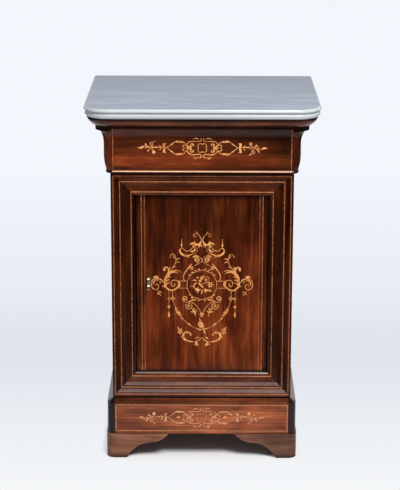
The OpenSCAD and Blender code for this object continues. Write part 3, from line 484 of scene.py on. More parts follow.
LOOKS = [
    (rosewood("door", "Z", shade=0.95, brown=0.2, tint=door_tint, streak=1.35), "door_panel"),
    (rosewood("upright", "Z", shade=0.31, brown=0.35, tint=stile_tint),
     "frame_stile_left", "frame_stile_right"),
    (rosewood("level", "X", shade=0.85, brown=0.35), "frame_rail_top"),
    (rosewood("ledge", "X", shade=0.85, brown=0.35, wear=ledge_highlight_and_shade), "frame_rail_bottom"),
    (rosewood("front", "X", shade=0.93, brown=0.3, tint=drawer_tint), "drawer_front"),
    (rosewood("plinth", "X", shade=2.0, brown=0.68, tint=plinth_tint), "plinth_front"),
    (wood("rosewood_foot", "X", *FOOT_TONES, tint=foot_tint), "foot_front_left", "foot_front_right"),
    (rosewood("deep", "Y", shade=0.8), "cornice_left", "cornice_right", "frieze_left",
     "frieze_right", "plinth_left", "plinth_right", "feet_side_left", "feet_side_right"),
    (rosewood("cornice", "X", shade=0.80, brown=0.6, tint=cornice_tint), "cornice_front"),
    (rosewood("side", "Z", shade=0.9), "side_panel_left", "side_panel_right"),
    (rosewood("corner", "Z", shade=1.15, brown=0.4, tint=corner_tint),
     "frieze_corner_left", "frieze_corner_right"),
    (wood("ebonised_upright", "Z", *EBONY_TONES, roughness=0.14),
     "plinth_corner_left", "plinth_corner_right"),
    (wood("ebonised_deep", "Y", *EBONY_TONES, roughness=0.14), "lip_left", "lip_right"),
    # ebonised fillet, darkened further as painted shade in the gap above the plinth
    (wood("ebonised_and_shaded_fillet", "X", *FILLET_SHADE_TONES, roughness=0.3, specular=0.2), "frame_fillet"),
    (plain_wood("oak_level", "X", OAK_TONES), "drawer_divider", "cupboard_floor", "shelf", "drawer_back",
     "drawer_stops"),
    (plain_wood("oak_deep", "Y", OAK_TONES), "shelf_battens", "drawer_kickers", "drawer_side_left",
     "drawer_side_right"),
    (plain_wood("pine_level", "X", PINE_TONES), "top_front_rail", "top_back_rail", "plinth_back", "feet_back",
     "drawer_bottom"),
    (plain_wood("pine_upright", "Z", AGED_PINE_TONES), "back_boards", "foot_blocks"),
    (stringing_wood(), "frame_stringing", "plinth_stringing", "door_stringing", "drawer_stringing"),
    (lip_wood(), "drawer_lip"),
    (marble(), "marble_top"),
    (metal("brass", (226, 196, 140), (184, 148, 92), roughness=0.26),
     "strike_plate", "lock_plate", "lock_cap", "lock_bolt"),
    (metal("pale_brass", (236, 222, 190), (196, 176, 132), roughness=0.22), "escutcheon", "key"),
    (metal("dark_brass", (120, 90, 52), (74, 54, 34), roughness=0.40),
     "frame_pivot_leaves", "door_pivot_leaves"),
    (metal("steel", (150, 150, 152), (96, 92, 90), roughness=0.38), "frame_screws", "door_screws"),
]


def dress():
    """Gives every CAD piece its look."""
    for look, *names in LOOKS:
        for name in names:
            slots = NODES[name].data.materials
            slots.clear()
            slots.append(look)
    missing = set(NODES) - {name for _, *names in LOOKS for name in names}
    assert not missing, missing


# ---------- studio ----------

PHOTO_H, FOCAL_PX = 490, 1689.0  # the photograph's height and focal length, pixels
SENSOR = 24.0                    # mm
CAMERA_AT = Vector((9.286, -3333.88, 1350.41)) * MM
PITCH, YAW, ROLL = math.radians(15.782), math.radians(-0.238), math.radians(0.137)
CLIP = 0.05, 200

PALE = linear(243, 246, 252)
FILL_COLOUR, FILL = (0.94, 0.96, 1.0), 0.22  # the even light all round
ROOM_COLOUR, ROOM = (1.0, 0.9, 0.8), 0.02    # what polish reflects from in front
WALL = 0.95                                  # strength of the pale wall that it reflects from behind
WALL_Y = 0.2, 0.5                            # y of the directions between which the room turns into it

FLOOR_REACH = 40.0                  # half its width
FLOOR_Y = -0.3, 3.0                 # the floor's tones change between these
# the dim band behind the cupboard is its painted soft shadow
FLOOR_SHADOW_TONE = linear(225, 228, 236)
FLOOR_TONES = ((0.0, linear(245, 247, 249)), (0.21, FLOOR_SHADOW_TONE), (0.28, FLOOR_SHADOW_TONE),
               (0.40, linear(233, 236, 243)), (0.80, PALE))
SPOT_WAVES, SPOT_SHARE, SPOT_COLOUR = 60, 0.03, linear(228, 230, 236)
SHADOW_SIDE = -0.020, 0.015         # the floor's shadow fades out between these distances outside the feet,
SHADOW_END = 0.0, 0.05              # to the sides, and to the front and back
PAPER_X, PAPER_FRONT = 0.75, -0.36  # the pale floor's reach in reflections
PAPER_FADE = 0.3                    # over which it darkens beyond that
PAPER_NEAR = 0.1, -0.1, 0.0, 0.5    # by how much it is dimmer towards the front
PAPER_DARK = 0.03, 0.026, 0.022

KEY = {"at": (0.75, -1.95, 2.95), "target": (0, 0, 0.35), "size": (1.0, 1.3), "power": 122,
       "colour": (1.0, 0.985, 0.96)}
OVERHEAD = {"at": (0, -0.98, 2.7), "target": (0, -0.1, 0.2), "size": (1.8, 0.36), "power": 8}


def add_object(name, data):
    thing = bpy.data.objects.new(name, data)
    bpy.context.scene.collection.objects.link(thing)
    return thing


def add_camera():
    """The photograph's camera: PITCH below level, turned YAW to the right and rolled ROLL."""
    ahead = Vector((math.sin(YAW) * math.cos(PITCH), math.cos(YAW) * math.cos(PITCH), -math.sin(PITCH)))
    level = Vector((math.cos(YAW), -math.sin(YAW), 0))
    above = level.cross(ahead)
    right = level * math.cos(ROLL) + above * math.sin(ROLL)
    up = above * math.cos(ROLL) - level * math.sin(ROLL)
    data = bpy.data.cameras.new("camera")
    data.sensor_fit, data.sensor_height = "VERTICAL", SENSOR
    data.lens = FOCAL_PX / PHOTO_H * SENSOR
    data.clip_start, data.clip_end = CLIP
    camera = add_object("camera", data)
    turn = Matrix((right, up, -ahead)).transposed().to_4x4()
    camera.matrix_world = Matrix.Translation(CAMERA_AT) @ turn
    bpy.context.scene.camera = camera


def add_lamp(name, at, target, size, power, colour=(1, 1, 1)):
    data = bpy.data.lights.new(name, "AREA")
    data.shape = "RECTANGLE"
    data.size, data.size_y = size
    data.energy, data.color = power, colour
    lamp = add_object(name, data)
    aim = (Vector(target) - Vector(at)).to_track_quat("-Z", "Y")
    lamp.matrix_world = Matrix.Translation(at) @ aim.to_matrix().to_4x4()
    return lamp


def add_world():
    """Even light for the object, a pale background for the camera, and a dim room in front in reflections."""
    world = bpy.data.worlds.new("studio")
    world.cycles.sampling_method = "NONE"  # sampled by rays, which know what they bounced off
    bpy.context.scene.world = world
    t = Tree(world, "OutputWorld")

    def background(colour, strength):
        return t.add("Background", [(0, colour), (1, strength)]).outputs[0]

    path = t.add("LightPath").outputs
    behind = t.spread(t.split(t.add("TexCoord").outputs["Generated"])[1], *WALL_Y)
    room = t.blend(behind, background(ROOM_COLOUR, ROOM), background(PALE, WALL))
    lit = t.blend(path["Is Glossy Ray"], background(FILL_COLOUR, FILL), room)
    t.end(t.blend(path["Is Camera Ray"], lit, background(PALE, 1.0)))


def add_floor():
    """The pale floor, which takes the cupboard's cast shadow near its feet alone and a painted soft shadow
    behind it, and is dim in reflections.
    """
    t = material("studio_floor")
    place = t.add("NewGeometry").outputs["Position"]
    x, y, _ = t.split(place)
    beside = t.math("ABSOLUTE", x)
    colour = t.ramp(t.spread(y, *FLOOR_Y), *FLOOR_TONES)
    colour = t.mix(t.swing(t.noise(place, SPOT_WAVES), 0.0, SPOT_SHARE), colour, SPOT_COLOUR)
    off = t.math("MAXIMUM", t.spread(beside, PAPER_X, PAPER_X + PAPER_FADE),
                 t.spread(y, PAPER_FRONT, PAPER_FRONT - PAPER_FADE), t.spread(y, *PAPER_NEAR))
    off = t.math("MULTIPLY", off, t.add("LightPath").outputs["Is Glossy Ray"])
    colour = t.mix(off, colour, PAPER_DARK)
    beyond = t.math("MAXIMUM", t.math("SUBTRACT", FOOT_FRONT, y), t.math("SUBTRACT", y, FOOT_BACK))
    away = t.math("MAXIMUM", t.spread(t.math("SUBTRACT", beside, FOOT_X), *SHADOW_SIDE),
                  t.spread(beyond, *SHADOW_END))
    shaded = t.add("BsdfDiffuse", [(0, colour)]).outputs[0]
    paper = t.end(t.blend(away, shaded, t.add("Emission", [(0, colour), (1, 1.0)]).outputs[0]))
    paper.cycles.emission_sampling = "NONE"  # as the world is
    mesh = bpy.data.meshes.new("studio_floor")
    corners = [(FLOOR_REACH * i, FLOOR_REACH * j, 0) for i, j in ((-1, -1), (1, -1), (1, 1), (-1, 1))]
    mesh.from_pydata(corners, [], [(0, 1, 2, 3)])
    mesh.materials.append(paper)
    floor = add_object("studio_floor", mesh)


def add_studio():
    bpy.context.scene.view_settings.view_transform = "Standard"
    add_camera()
    add_world()
    add_floor()
    add_lamp("key", **KEY)
    add_lamp("overhead", **OVERHEAD).visible_diffuse = False


# ---------- inlay drawing ----------

LIFT = 0.10 * MM                        # of the inlay's face above the veneer
LAYERS, LAYER = 6, 0.01 * MM            # strokes that cross lie a layer apart
SINK = 0.25 * MM                        # of its back below the veneer
LINE_STEP, LEAF_STEP = 1.6, 1.2         # between the points of a curve, mm
SCROLL_STEPS = 9                        # points in a turn of a scroll
LEAF_TIP = 0.06                         # share of its width that a leaf keeps at its ends
DISC_STEPS, DISC_CUT = 8, 0.03          # strips of a disc, and the share of it cut off at either end
PETAL, PETAL_FULLEST = (0.2, 1.0), 0.6  # a petal's ends, in radii of the flower, and where it is fullest
PETAL_WIDE, PETAL_MORE = 2.6, 0.5       # its width: radii over the number of petals, and mm on top
EYE = 0.22                              # radius of a flower's centre, in radii of the flower


def smooth(points, step):
    """A Catmull-Rom curve through the points, sampled about every step."""
    if len(points) == 2:
        points = [points[0], (points[0] + points[1]) / 2, points[1]]
    ends = [2 * points[0] - points[1], *points, 2 * points[-1] - points[-2]]
    curve = []
    for a, b, c, d in zip(ends, ends[1:], ends[2:], ends[3:]):
        n = max(2, math.ceil((c - b).length / step))
        for i in range(n):
            t = i / n
            curve.append(0.5 * ((2 * b) + (c - a) * t + (2 * a - 5 * b + 4 * c - d) * t * t
                                + (3 * b - a - 3 * c + d) * t ** 3))
    curve.append(points[-1])
    return curve


def round_about(centre, radius, angle):
    return centre[0] + radius * math.cos(angle), centre[1] + radius * math.sin(angle)


class Drawing:
    """Flat pieces of light wood on a face that looks towards -Y.

    Points are in squares of a grid round the drawing's middle, x to the right and y up, and so are the radii
    of flowers and scrolls. Widths and the radii of discs are in mm.
    """

    def __init__(self, name, middle, square, depth):
        self.mesh = bmesh.new()
        self.name = name
        self.middle = middle       # (x, z)
        self.square = square       # width and height of one square, mm
        self.depth = depth         # function of (x, z) that gives the face's y
        self.flip = self.turn = 1  # -1 mirrors the drawing left to right, or top to bottom
        self.away = 0.0            # squares by which the points lie further from the middle
        self.strokes = 0

    def spot(self, p):
        """A point of the grid, in mm from the middle."""
        return Vector((self.flip * (p[0] - self.away) * self.square[0], self.turn * p[1] * self.square[1]))

    def vert(self, p, out):
        """A corner of a chip, out metres in front of the face."""
        x = self.middle[0] + p.x * MM
        z = self.middle[1] + p.y * MM
        return self.mesh.verts.new((x, self.depth(x, z) - out, z))

    def fill(self, rings):
        """A closed chip of wood: each ring is the points across the stroke at one place along it."""
        self.strokes += 1
        out = LIFT + self.strokes % LAYERS * LAYER
        top = [[self.vert(p, out) for p in ring] for ring in rings]
        low = [[self.vert(p, -SINK) for p in ring] for ring in rings]
        faces = self.mesh.faces
        for i in range(len(rings) - 1):
            faces.new((top[i][0], top[i + 1][0], top[i + 1][1], top[i][1]))
            faces.new((low[i][0], low[i][1], low[i + 1][1], low[i + 1][0]))
            faces.new((low[i][0], low[i + 1][0], top[i + 1][0], top[i][0]))
            faces.new((top[i][1], top[i + 1][1], low[i + 1][1], low[i][1]))
        for i in (0, -1):
            faces.new((top[i][0], top[i][1], low[i][1], low[i][0]))

    def band(self, spine, widths):
        """A strip along the spine; widths are its half widths at the spine's points."""
        rings = []
        for i, p in enumerate(spine):
            ahead = spine[min(i + 1, len(spine) - 1)] - spine[max(i - 1, 0)]
            across = Vector((-ahead.y, ahead.x)).normalized() * widths[i]
            rings.append((p + across, p - across))
        self.fill(rings)

    def line(self, points, width, end=None):
        """A stroke that tapers from width to end."""
        spine = smooth([self.spot(p) for p in points], LINE_STEP)
        end = width if end is None else end
        last = len(spine) - 1
        self.band(spine, [(width + (end - width) * i / last) / 2 for i in range(last + 1)])

    def leaf(self, points, width, fullest=0.45):
        """A stroke that swells to width, at the share fullest of its length, and ends in a point."""
        spine = smooth([self.spot(p) for p in points], LEAF_STEP)
        last = len(spine) - 1
        power = math.log(0.5) / math.log(fullest)
        swell = [max(LEAF_TIP, math.sin(math.pi * (i / last) ** power)) for i in range(last + 1)]
        self.band(spine, [width / 2 * share for share in swell])

    def disc(self, centre, radius):
        c = self.spot(centre)
        rings = []
        for i in range(DISC_STEPS + 1):
            a = math.pi * (i / DISC_STEPS * (1 - 2 * DISC_CUT) + DISC_CUT)
            rings.append([c + radius * Vector((-math.cos(a), side * math.sin(a))) for side in (1, -1)])
        self.fill(rings)

    def flower(self, centre, radius, petals=5, turn=90.0):
        """Petals round a centre, the first one turn degrees from the right; radius is in squares."""
        width = radius * self.square[0] * PETAL_WIDE / petals + PETAL_MORE
        for k in range(petals):
            a = math.radians(turn + 360 * k / petals)
            self.leaf([round_about(centre, r * radius, a) for r in PETAL], width, PETAL_FULLEST)
        self.disc(centre, EYE * radius * self.square[0])

    def scroll(self, centre, start, end, first, turns, width, tip=None):
        """A spiral from radius start to end, and from angle first through turns (negative is clockwise)."""
        n = max(4, round(abs(turns) * SCROLL_STEPS))
        points = []
        for i in range(n + 1):
            a = math.radians(first) + 2 * math.pi * turns * i / n
            points.append(round_about(centre, start + (end - start) * i / n, a))
        self.line(points, width, tip)

    def both(self, *draws):
        """Makes the drawings on the left half, and mirrored on the right half."""
        for self.flip in (1, -1):
            for draw in draws:
                draw(self)
        self.flip = 1

    def piece(self, body, look):
        """Makes the drawing a piece of that body."""
        bmesh.ops.recalc_face_normals(self.mesh, faces=self.mesh.faces)
        mesh = bpy.data.meshes.new(self.name)
        self.mesh.to_mesh(mesh)
        mesh.materials.append(look)
        piece = add_object(self.name, mesh)
        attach(piece, body)


def face_of(node):
    """Gives the y of a node's front face at (x, z)."""
    tree = BVHTree.FromObject(NODES[node], bpy.context.evaluated_depsgraph_get())

    def depth(x, z):
        hit = tree.ray_cast(Vector((x, -1.0, z)), Vector((0, 1, 0)))
        return hit[0].y
    return depth


# ---------- door marquetry ----------

DOOR_SQUARE = 1.653, 1.733  # width and height of a square of the door's grid, mm
DOOR_MIDDLE_Z = 0.357
RING = 18                   # radius of the ring round the bouquet, squares
RING_LEAVES = 18.2, 20.2    # radii at which the leaves on it begin and end
RING_LEAN = 9               # degrees by which they lean outwards


def medallion(d):
    """One half of the ring round the bouquet, with small leaves above and below, and its two bars."""
    d.scroll((0, 0), RING, RING, 90, 0.5, 0.9)
    for a in (97, 110, 123, 136, 224, 237, 250, 263):
        tip = a + (RING_LEAN if a < 180 else -RING_LEAN)
        d.leaf([round_about((0, 0), r, math.radians(b)) for r, b in zip(RING_LEAVES, (a, tip))], 2.2)
    for height in (4.6, -3.9):
        d.line([(-28.5, height), (-17.8, height)], 0.8)


def shoulder(d):
    """The bracket on the ring's shoulder with its leaf and flower, and the line that climbs to the curls."""
    d.line([(-17.4, 4.4), (-20.8, 5), (-22.4, 8.6), (-21.4, 13.2), (-18.4, 17.8), (-15.4, 21.4)], 1.2, 2.2)
    d.leaf([(-16.8, 19.2), (-14.4, 22.6), (-12.2, 25.8)], 3.2)
    d.flower((-12.2, 20.4), 2.4, petals=4, turn=45)
    d.line([(-9.6, 22.9), (-4.8, 25.4), (-0.6, 28.2), (0, 30), (-2, 32.6), (-4.6, 34)], 0.9)
    d.scroll((-6.2, 29.6), 2.8, 0.8, 75, -1.1, 2.4, 1.8)
    d.leaf([(-4, 34.2), (-8.2, 34.8), (-12, 32.6)], 3.4)
    d.leaf([(-4.6, 33.6), (-8.2, 32.2), (-9.2, 28.6)], 2.6)


def acanthus(d):
    """The big C of leaves beside the ring, its curled head and inner scroll."""
    d.line([(-40.4, 14), (-43.6, 9), (-45, 2.8), (-43.8, -2.2), (-40.2, -5.6), (-36.2, -6.6), (-31.8, -5),
            (-28.4, -1.6)], 4.4, 2)
    d.leaf([(-44.2, 4), (-43, 9.6), (-39.6, 14.2), (-34, 17), (-28.6, 17), (-24, 14.6)], 3.2, 0.35)
    d.leaf([(-40.8, 12.4), (-35.4, 15), (-30.8, 15.2), (-27.2, 12.8)], 2.6)
    d.leaf([(-30.6, 5.8), (-28, 3.4), (-27.4, 0.4), (-28.2, -2.6), (-31, -4.6)], 5.4, 0.5)
    d.line([(-30.4, 5.4), (-34.4, 5.6), (-37, 3.2), (-36.8, -0.4), (-34.8, -2), (-33, -0.8), (-33, 1.6)], 1.5)
    d.leaf([(-44.4, 7), (-41.2, 9.6), (-37.4, 9.2)], 3, 0.35)
    d.leaf([(-45, 2.6), (-41.6, 5.8), (-38.2, 5.8)], 3, 0.35)
    d.leaf([(-44.8, -1.4), (-41.8, 2), (-38.4, 2.4)], 3, 0.35)
    d.leaf([(-48.2, -1.4), (-44, -2.6), (-41, -5)], 2.6)
    d.line([(-41.6, 11.2), (-40.2, 15.8), (-40.6, 19.4), (-43.4, 21.2), (-46, 19.4), (-45.8, 16.8)], 2.8, 3)
    d.leaf([(-43.4, 19), (-44.6, 18.6), (-45.2, 16.4)], 3)
    d.leaf([(-41.4, 9.6), (-39, 14.2), (-40.4, 18)], 3.4)


def plume(d):
    """The thin stem above the acanthus, curled over at its top, with side leaves."""
    d.line([(-38.4, 15.6), (-36.2, 19.6), (-33.8, 22.8), (-32, 27.2), (-31.4, 31.6), (-32.8, 35.6),
            (-35.4, 37), (-38, 35), (-38.2, 32.4)], 1.1, 0.9)
    for points in ([(-32.2, 28.4), (-29.4, 31.2), (-26, 31.4)],
                   [(-32.4, 25.6), (-29.2, 27.6), (-26.4, 26)],
                   [(-36.2, 19.4), (-33.2, 22), (-31.4, 20.6)],
                   [(-31.6, 31), (-33.8, 33.4), (-34.4, 36)],
                   [(-38, 16.6), (-38.8, 19.8), (-37.4, 22.4)]):
        d.leaf(points, 1.8)


def rosette(d):
    """The outermost scroll, with its flower above and its hanging tail."""
    d.flower((-55.4, 8), 3.8, petals=7)
    d.leaf([(-58.6, 7), (-55.4, 9.6), (-52, 7)], 4.6)
    d.line([(-58.4, 6.8), (-60.8, 3.4), (-61.2, -1), (-59, -4.6), (-55.2, -5.8), (-52.4, -3.4), (-52.6, -0.4),
            (-55, 0.8), (-56.6, -0.8)], 1.5, 1.2)
    d.leaf([(-56.6, 5.4), (-58.4, 2.6), (-59.6, -1)], 2.6)
    d.leaf([(-53.2, 6.8), (-49.6, 6.4), (-46.4, 2.4)], 2.8)
    d.leaf([(-52.6, 5), (-50.4, 3.4), (-50.6, 1.2)], 1.8)
    d.line([(-53.6, -7.4), (-51.8, -10.2), (-49.6, -13)], 1.2)
    d.leaf([(-52.4, -8.8), (-50, -8.4), (-48.8, -10.4)], 1.8)
    d.leaf([(-51.4, -10.6), (-53.6, -11), (-54.4, -12.6)], 1.6)


def crest(d):
    """The Y at the top, hooked outwards, on its cluster of leaves."""
    d.line([(-2.2, 48.8), (-0.9, 52.6), (-1.7, 56.6), (-4.4, 60.2), (-7, 63.6)], 1.6, 0.9)
    d.line([(-4.8, 60.4), (-8.4, 61.2), (-10.4, 59.4), (-8.8, 57.4), (-7, 58.6)], 0.9)
    d.leaf([(-0.9, 53), (-2.6, 49.4), (-5.6, 48), (-9.6, 48.6)], 4.6, 0.5)
    d.leaf([(-6, 48.6), (-10.6, 49.8), (-15.6, 48.2)], 4.2)
    d.leaf([(-7.4, 48.8), (-9, 51), (-9.4, 53)], 2.8)
    d.leaf([(-7.4, 48.4), (-10.2, 46.4), (-12.6, 46.2)], 2.8)
    d.leaf([(-2.4, 50.4), (-3.4, 47), (-4.2, 44.2)], 3)
    d.leaf([(-1.6, 50), (-1.4, 47), (-0.8, 45)], 1.8)


def dolphin(d):
    """The S-shaped scroll below the crest, and the beaded finial on its outer end."""
    d.line([(-24.4, 54.8), (-24.4, 43.6)], 0.9)
    for height, radius in ((50.8, 1.3), (47.6, 1.9), (45.8, 1.1)):
        d.disc((-24.4, height), radius)
    d.leaf([(-24.4, 44.8), (-26.4, 41.8), (-25.8, 38.4), (-22, 35.6), (-17.4, 34.8), (-12, 36.8), (-6, 38.8)],
           3.9, 0.38)
    d.leaf([(-18.6, 35.2), (-16.4, 33.4), (-14.6, 33.6)], 1.8)
    d.line([(-24, 44.6), (-21.8, 42.4), (-18.8, 40.6), (-15.6, 41.2), (-12.8, 43.2), (-10, 45.2),
            (-6.8, 44.6), (-5.6, 42), (-6.6, 39.6)], 1.3, 0.9)
    d.leaf([(-14.4, 40.6), (-10.6, 40.2), (-7.4, 43.2)], 3.6)
    d.disc((-8.6, 42.8), 1.6)


def lower_scrolls(d):
    """The two scrolls under the ring, joined by the V that ends in a bud, and their tail leaves."""
    d.scroll((-20.2, -16.6), 3.2, 1, -140, -1.15, 2, 1.6)
    d.line([(-22.6, -18.6), (-19.8, -20.8), (-14.8, -20.6), (-10.4, -22), (-6.6, -25.2), (-3.2, -29.8),
            (-0.6, -35)], 1.3, 0.9)
    d.scroll((-15.3, -25.2), 4.7, 1, 155, 1.4, 1.5, 1.4)
    d.disc((-15.3, -25.2), 1.6)
    d.leaf([(-12.4, -28.4), (-9.2, -32.6), (-7.4, -38.6)], 3.2)
    d.leaf([(-13.8, -32), (-11.4, -32.8), (-9, -31.4)], 2.4)
    d.leaf([(-11, -27.6), (-9, -29), (-7.4, -30.8)], 2.4)
    d.leaf([(-9.4, -33), (-6.8, -32.2), (-5.4, -30.2)], 1.8)
    d.line([(-12.8, -13.4), (-11, -17.6), (-7.8, -18.8)], 1.5)
    d.leaf([(-16.4, -20.4), (-12.6, -18.6), (-9.8, -19.8)], 2.2)


def garland(d):
    """The long swag below the acanthus, with its cross-shaped leaf, thick leaf and buds."""
    d.line([(-36, -6.8), (-35.2, -16.4), (-33.8, -22.4), (-30.8, -30.4), (-26.8, -37.4), (-22.6, -42),
            (-15.8, -47.8), (-7.8, -52.4), (-0.4, -53.8)], 0.7)
    d.flower((-35.3, -16.4), 3, petals=4)
    d.leaf([(-32.6, -25.4), (-30, -32), (-24.8, -39.6)], 4.8)
    d.leaf([(-30, -33), (-27.4, -33), (-25.2, -34.6)], 2.2)
    d.leaf([(-28.2, -35.8), (-26.2, -36), (-24, -37.6)], 2)
    d.disc((-24, -40.6), 1.7)
    d.leaf([(-17.8, -46.2), (-15.6, -47.6), (-12.8, -50)], 3.4)
    for points in ([(-36.2, -9.6), (-34.8, -8)], [(-5.2, -52.2), (-3.8, -54)]):
        d.leaf(points, 1.6)


def pendant(d):
    """The straight drop on the outer side of the garland."""
    d.line([(-40, -6.6), (-40, -31)], 0.6)
    d.flower((-40, -16.8), 1.9, petals=4, turn=0)
    d.flower((-40, -26.6), 1.9, petals=4, turn=45)
    d.disc((-40, -26.6), 1.7)
    d.leaf([(-40, -30.4), (-40, -39.6)], 4, 0.68)


def foot_scroll(d):
    """The leafy C at the bottom, and the leaves where its two halves meet."""
    d.leaf([(-29.6, -50.6), (-28.2, -53.2), (-25.6, -55)], 2.6)
    d.flower((-26.6, -57), 3.2, turn=60)
    d.leaf([(-26.4, -52.4), (-24.6, -54.2), (-23.2, -55.2)], 2)
    d.leaf([(-25.8, -63.6), (-23.6, -62.8), (-21.4, -63.8)], 2.8)
    d.leaf([(-12.6, -61.2), (-14.8, -58.4), (-18, -57.4), (-21.4, -58.8), (-22.8, -62.4), (-21, -66),
            (-16.4, -68.2), (-10.6, -69.2), (-6.4, -68.6)], 4.6, 0.42)
    d.line([(-14.6, -58.4), (-13, -60.4), (-14.2, -61.6)], 2, 1.6)
    d.leaf([(-8.4, -68.8), (-6.4, -71), (-6.6, -75)], 3.6)
    d.leaf([(-6.6, -71), (-4.8, -72.6), (-4.2, -74.4)], 2.4)
    d.leaf([(-6.8, -71.4), (-9, -72.2), (-10, -73)], 2)
    d.line([(-7.4, -69), (-3.6, -67.2), (-0.6, -64.2)], 1.5)
    d.leaf([(-8, -65.8), (-5.8, -64), (-3, -63.6)], 3.2)


def bouquet(d):
    """The bunch of flowers inside the ring."""
    d.disc((-5.4, 8.8), 2.3)
    d.leaf([(-1.6, 5.6), (0.2, 8.2), (2.2, 11.6)], 4.6)
    d.disc((-2.4, 4.6), 2.8)
    d.leaf([(-3, 7.2), (-1.2, 9), (-1.6, 11)], 2)
    d.leaf([(-11.8, 5.2), (-9, 5.8), (-5.4, 4.6)], 2.6)
    d.leaf([(-4.8, 2.4), (-1.4, 0), (2.2, -4.6)], 4.6)
    d.line([(-6.4, 2.8), (-9.2, 0.6), (-9.8, -2.8), (-7, -4.8), (-4.4, -3.2)], 2.4, 1.8)
    d.line([(-14.6, -1.4), (-10.8, -1.4)], 0.9)
    d.disc((5, 6.2), 2.5)
    d.scroll((5, 6.2), 3.7, 3.7, 150, -0.55, 1)
    d.line([(1.2, 1.6), (4.4, 2.6), (7.6, 3.6)], 1.3)
    d.flower((10.2, 0.4), 3.9, petals=6, turn=60)
    for points in ([(2.6, -4.4), (7, -6.6), (10.4, -4.8)], [(2.2, -5.6), (4.4, -7.8), (5.8, -10.2)],
                   [(0.4, -5.6), (0.2, -8.4), (-0.8, -11.2)], [(-1, -4.8), (-3.6, -6.6), (-6.6, -10)],
                   [(-3, -4.8), (-5.6, -6), (-9, -6.6)], [(8.4, -7.2), (10.2, -7.4), (11.8, -6.6)]):
        d.leaf(points, 2.9)


def bird(d):
    """The bird that sits where the garland's halves meet."""
    d.disc((-1.8, -43.4), 2.3)
    d.leaf([(-1.6, -42.6), (-2.8, -41.4), (-3, -40.4)], 1.6)
    d.leaf([(-2.4, -42.4), (-1.8, -46.2), (0.2, -50.2), (3, -54.4)], 9.4)
    d.leaf([(-4.8, -46.6), (-3.4, -49.8), (-0.6, -52.2)], 2.6)
    d.leaf([(1, -51.6), (2.8, -56), (5, -61.2)], 3, 0.5)
    d.leaf([(2, -53), (4.6, -53.4), (7.6, -52)], 2.2)
    d.leaf([(-5.4, -53.6), (-1.8, -54.6), (1.8, -53.4)], 1.8)


def bud(d):
    """The bud at the tip of the V."""
    d.flower((0, -35.8), 2.8)
    d.leaf([(-0.1, -35.6), (-0.1, -39.4)], 1.8)


def door_marquetry():
    d = Drawing("door_marquetry", (0, DOOR_MIDDLE_Z), DOOR_SQUARE, lambda x, z: DOOR_FACE)
    d.both(medallion, shoulder, acanthus, plume, rosette, crest, dolphin, lower_scrolls, garland, pendant,
           foot_scroll)
    for draw in (bouquet, bird, bud):
        draw(d)
    d.piece("door", INLAY)


# ---------- frieze marquetry, on the drawer and again on the plinth ----------

FRIEZE_SQUARE = 1.663, 1.702  # width and height of a square of the drawer's grid, mm
DRAWER_MIDDLE_Z = 0.6438
PLINTH_SQUARE = 1.640, 1.690
PLINTH_MIDDLE_Z = 0.0867
SPRAY_OUT = 2.0               # squares that the plinth's sprays lie further out
LOBE_AT, LOBE_R = 3.1, 2.9    # the quatrefoil's lobes: place and radius, squares


def cartouche(d):
    """One half of the middle frame: its top and bottom scrolls and the knot at its side."""
    d.line([(-1.6, 11.4), (-1.4, 8.6), (-3.8, 7.7), (-12.2, 7.7), (-15.8, 6.8), (-17.6, 4.6)], 1.4)
    d.leaf([(-3.6, 10), (-7.8, 11.4), (-11.6, 9.8)], 1.8)
    d.line([(-3.8, -11.4), (-1.7, -10.9), (-1.5, -8.6), (-3.8, -7.4), (-7.4, -7.7), (-12.2, -7.8),
            (-15.6, -6.2), (-17.6, -3.6)], 1.6)
    d.leaf([(-10.8, -10.2), (-7.8, -12.2), (-4.4, -10.8)], 2.6)
    d.leaf([(-7.6, -11), (-8.4, -13.4)], 1.8)
    for side in (1, -1):
        d.line([(-10.4, 2.3 * side), (-10.8, 4.3 * side), (-12.8, 4.7 * side), (-13.9, 3 * side),
                (-12.8, 1.4 * side), (-14.2, 0)], 2.2, 1.8)
        d.line([(-14.2, 0.4 * side), (-18.4, 3.2 * side), (-21.6, 3.4 * side), (-22.8, 1.6 * side),
                (-20.8, 0.8 * side)], 1.8, 1.2)
        d.leaf([(-13, 0), (-16, 0.9 * side), (-19.4, 0.4 * side)], 2.2)


def lens(d):
    """The pointed pair of leafy brackets beside the middle frame."""
    for side in (1, -1):
        d.line([(-41.4, 0.5), (-36.6, 3.6 * side), (-33, 6.2 * side), (-30.6, 7.6 * side),
                (-23.8, 7.6 * side), (-19.8, 5.4 * side), (-16.8, 1.8 * side)], 1.1)
        d.leaf([(-32.6, 6.4 * side), (-30, 7.4 * side), (-26.4, 7 * side), (-23.6, 6 * side)], 3.8, 0.4)
        d.leaf([(-26.6, 7.4 * side), (-23.2, 7.2 * side), (-20, 5.2 * side)], 2.4)
        d.leaf([(-37.4, 2.8 * side), (-35.2, 4.4 * side), (-33.2, 5.8 * side)], 2.8)


def bell(d):
    """The bell-flower at the bracket's point, with the row of small leaves behind it."""
    for side in (1, -1):
        d.disc((-44.6, 4.2 * side), 2.5)
        d.leaf([(-42.8, 0.5), (-44.2, 2 * side), (-45.6, 4.4 * side)], 4)
        d.leaf([(-43, 4 * side), (-42.6, 5 * side), (-42, 6 * side)], 1.8)
        d.leaf([(-47.6, 0.6), (-49, 2 * side), (-50.8, 3 * side)], 2)
    d.line([(-42.4, 0.5), (-53.8, 0.8), (-60.8, 1.2), (-65.4, 2.2)], 1.3)
    d.leaf([(-51, 0.7), (-55.8, 0.9)], 3.2)


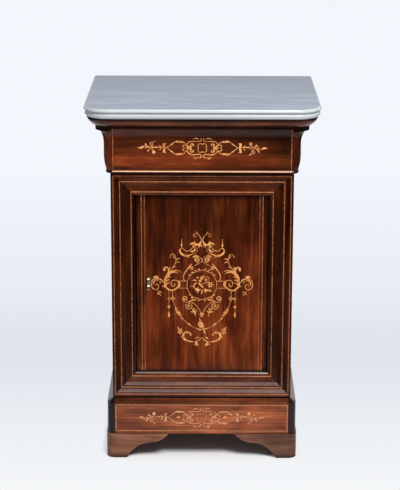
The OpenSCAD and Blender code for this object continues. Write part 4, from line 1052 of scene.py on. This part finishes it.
def spray(d):
    """The outer spray: an open flower on one side, a full one on the other, and the leaf at its tip."""
    d.line([(-59.6, -1.8), (-56.6, 1.2), (-54.4, 1)], 1.1)
    d.line([(-66.6, 3.2), (-61.4, 0.2), (-59.4, 1.8), (-57.4, 3)], 1.1)
    d.line([(-58.6, 0.6), (-56.6, -3.4)], 1.1)
    d.scroll((-59.2, 4.6), 1.6, 1.6, 0, 1, 1.2)
    d.disc((-56.4, -4.8), 3.3)
    d.leaf([(-57.6, 6), (-56, 7.4), (-54, 8)], 2.2)
    d.leaf([(-60.8, -1.2), (-62.6, -2.8), (-63.8, -5)], 2.6)
    d.leaf([(-66, 6), (-65.4, 3.6), (-63, 1.4)], 2.8)
    d.leaf([(-66.6, -0.6), (-64.4, 1), (-61.6, 1.4)], 2.8)
    d.leaf([(-76, 0.6), (-71.8, 0), (-66.6, 2.4)], 4, 0.55)


def frieze(d):
    d.both(cartouche, lens, bell)


def turned_sprays(d):
    """The drawer's sprays: the right one is the left one turned half round."""
    for d.flip, d.turn in ((-1, -1), (1, 1)):
        spray(d)


def mirrored_sprays(d):
    """The plinth's sprays: upside down, a little further out, and mirrored."""
    d.turn, d.away = -1, SPRAY_OUT
    d.both(spray)
    d.turn, d.away = 1, 0.0


def quatrefoil(d):
    """The four-lobed ring in the middle of the drawer's frame."""
    points = []
    for quarter in range(4):
        middle = math.radians(45 + 90 * quarter)
        lobe = round_about((0, 0), LOBE_AT, middle)
        points += [round_about(lobe, LOBE_R, middle + math.radians(90) * i / 3) for i in range(-3, 4)]
    d.line([*points, points[0]], 1.1)


def panel_in_frame(d):
    """The thin square in the middle of the plinth's frame, and the dots inside its brackets."""
    d.line([(0, 4.6), (-4.8, 4.6), (-4.8, -4.6), (0, -4.6)], 0.5)
    d.leaf([(-31.4, 0.2), (-28.6, 0.4), (-25.6, 0.2)], 4.2)


def drawer_marquetry():
    d = Drawing("drawer_marquetry", (0, DRAWER_MIDDLE_Z), FRIEZE_SQUARE, face_of("drawer_front"))
    frieze(d)
    turned_sprays(d)
    quatrefoil(d)
    d.piece("drawer", INLAY)


def plinth_marquetry():
    d = Drawing("plinth_marquetry", (0, PLINTH_MIDDLE_Z), PLINTH_SQUARE, lambda x, z: PLINTH_FACE)
    frieze(d)
    mirrored_sprays(d)
    d.both(panel_in_frame)
    d.piece("cupboard", INLAY_LOW)


dress()
add_studio()
door_marquetry()
drawer_marquetry()
plinth_marquetry()
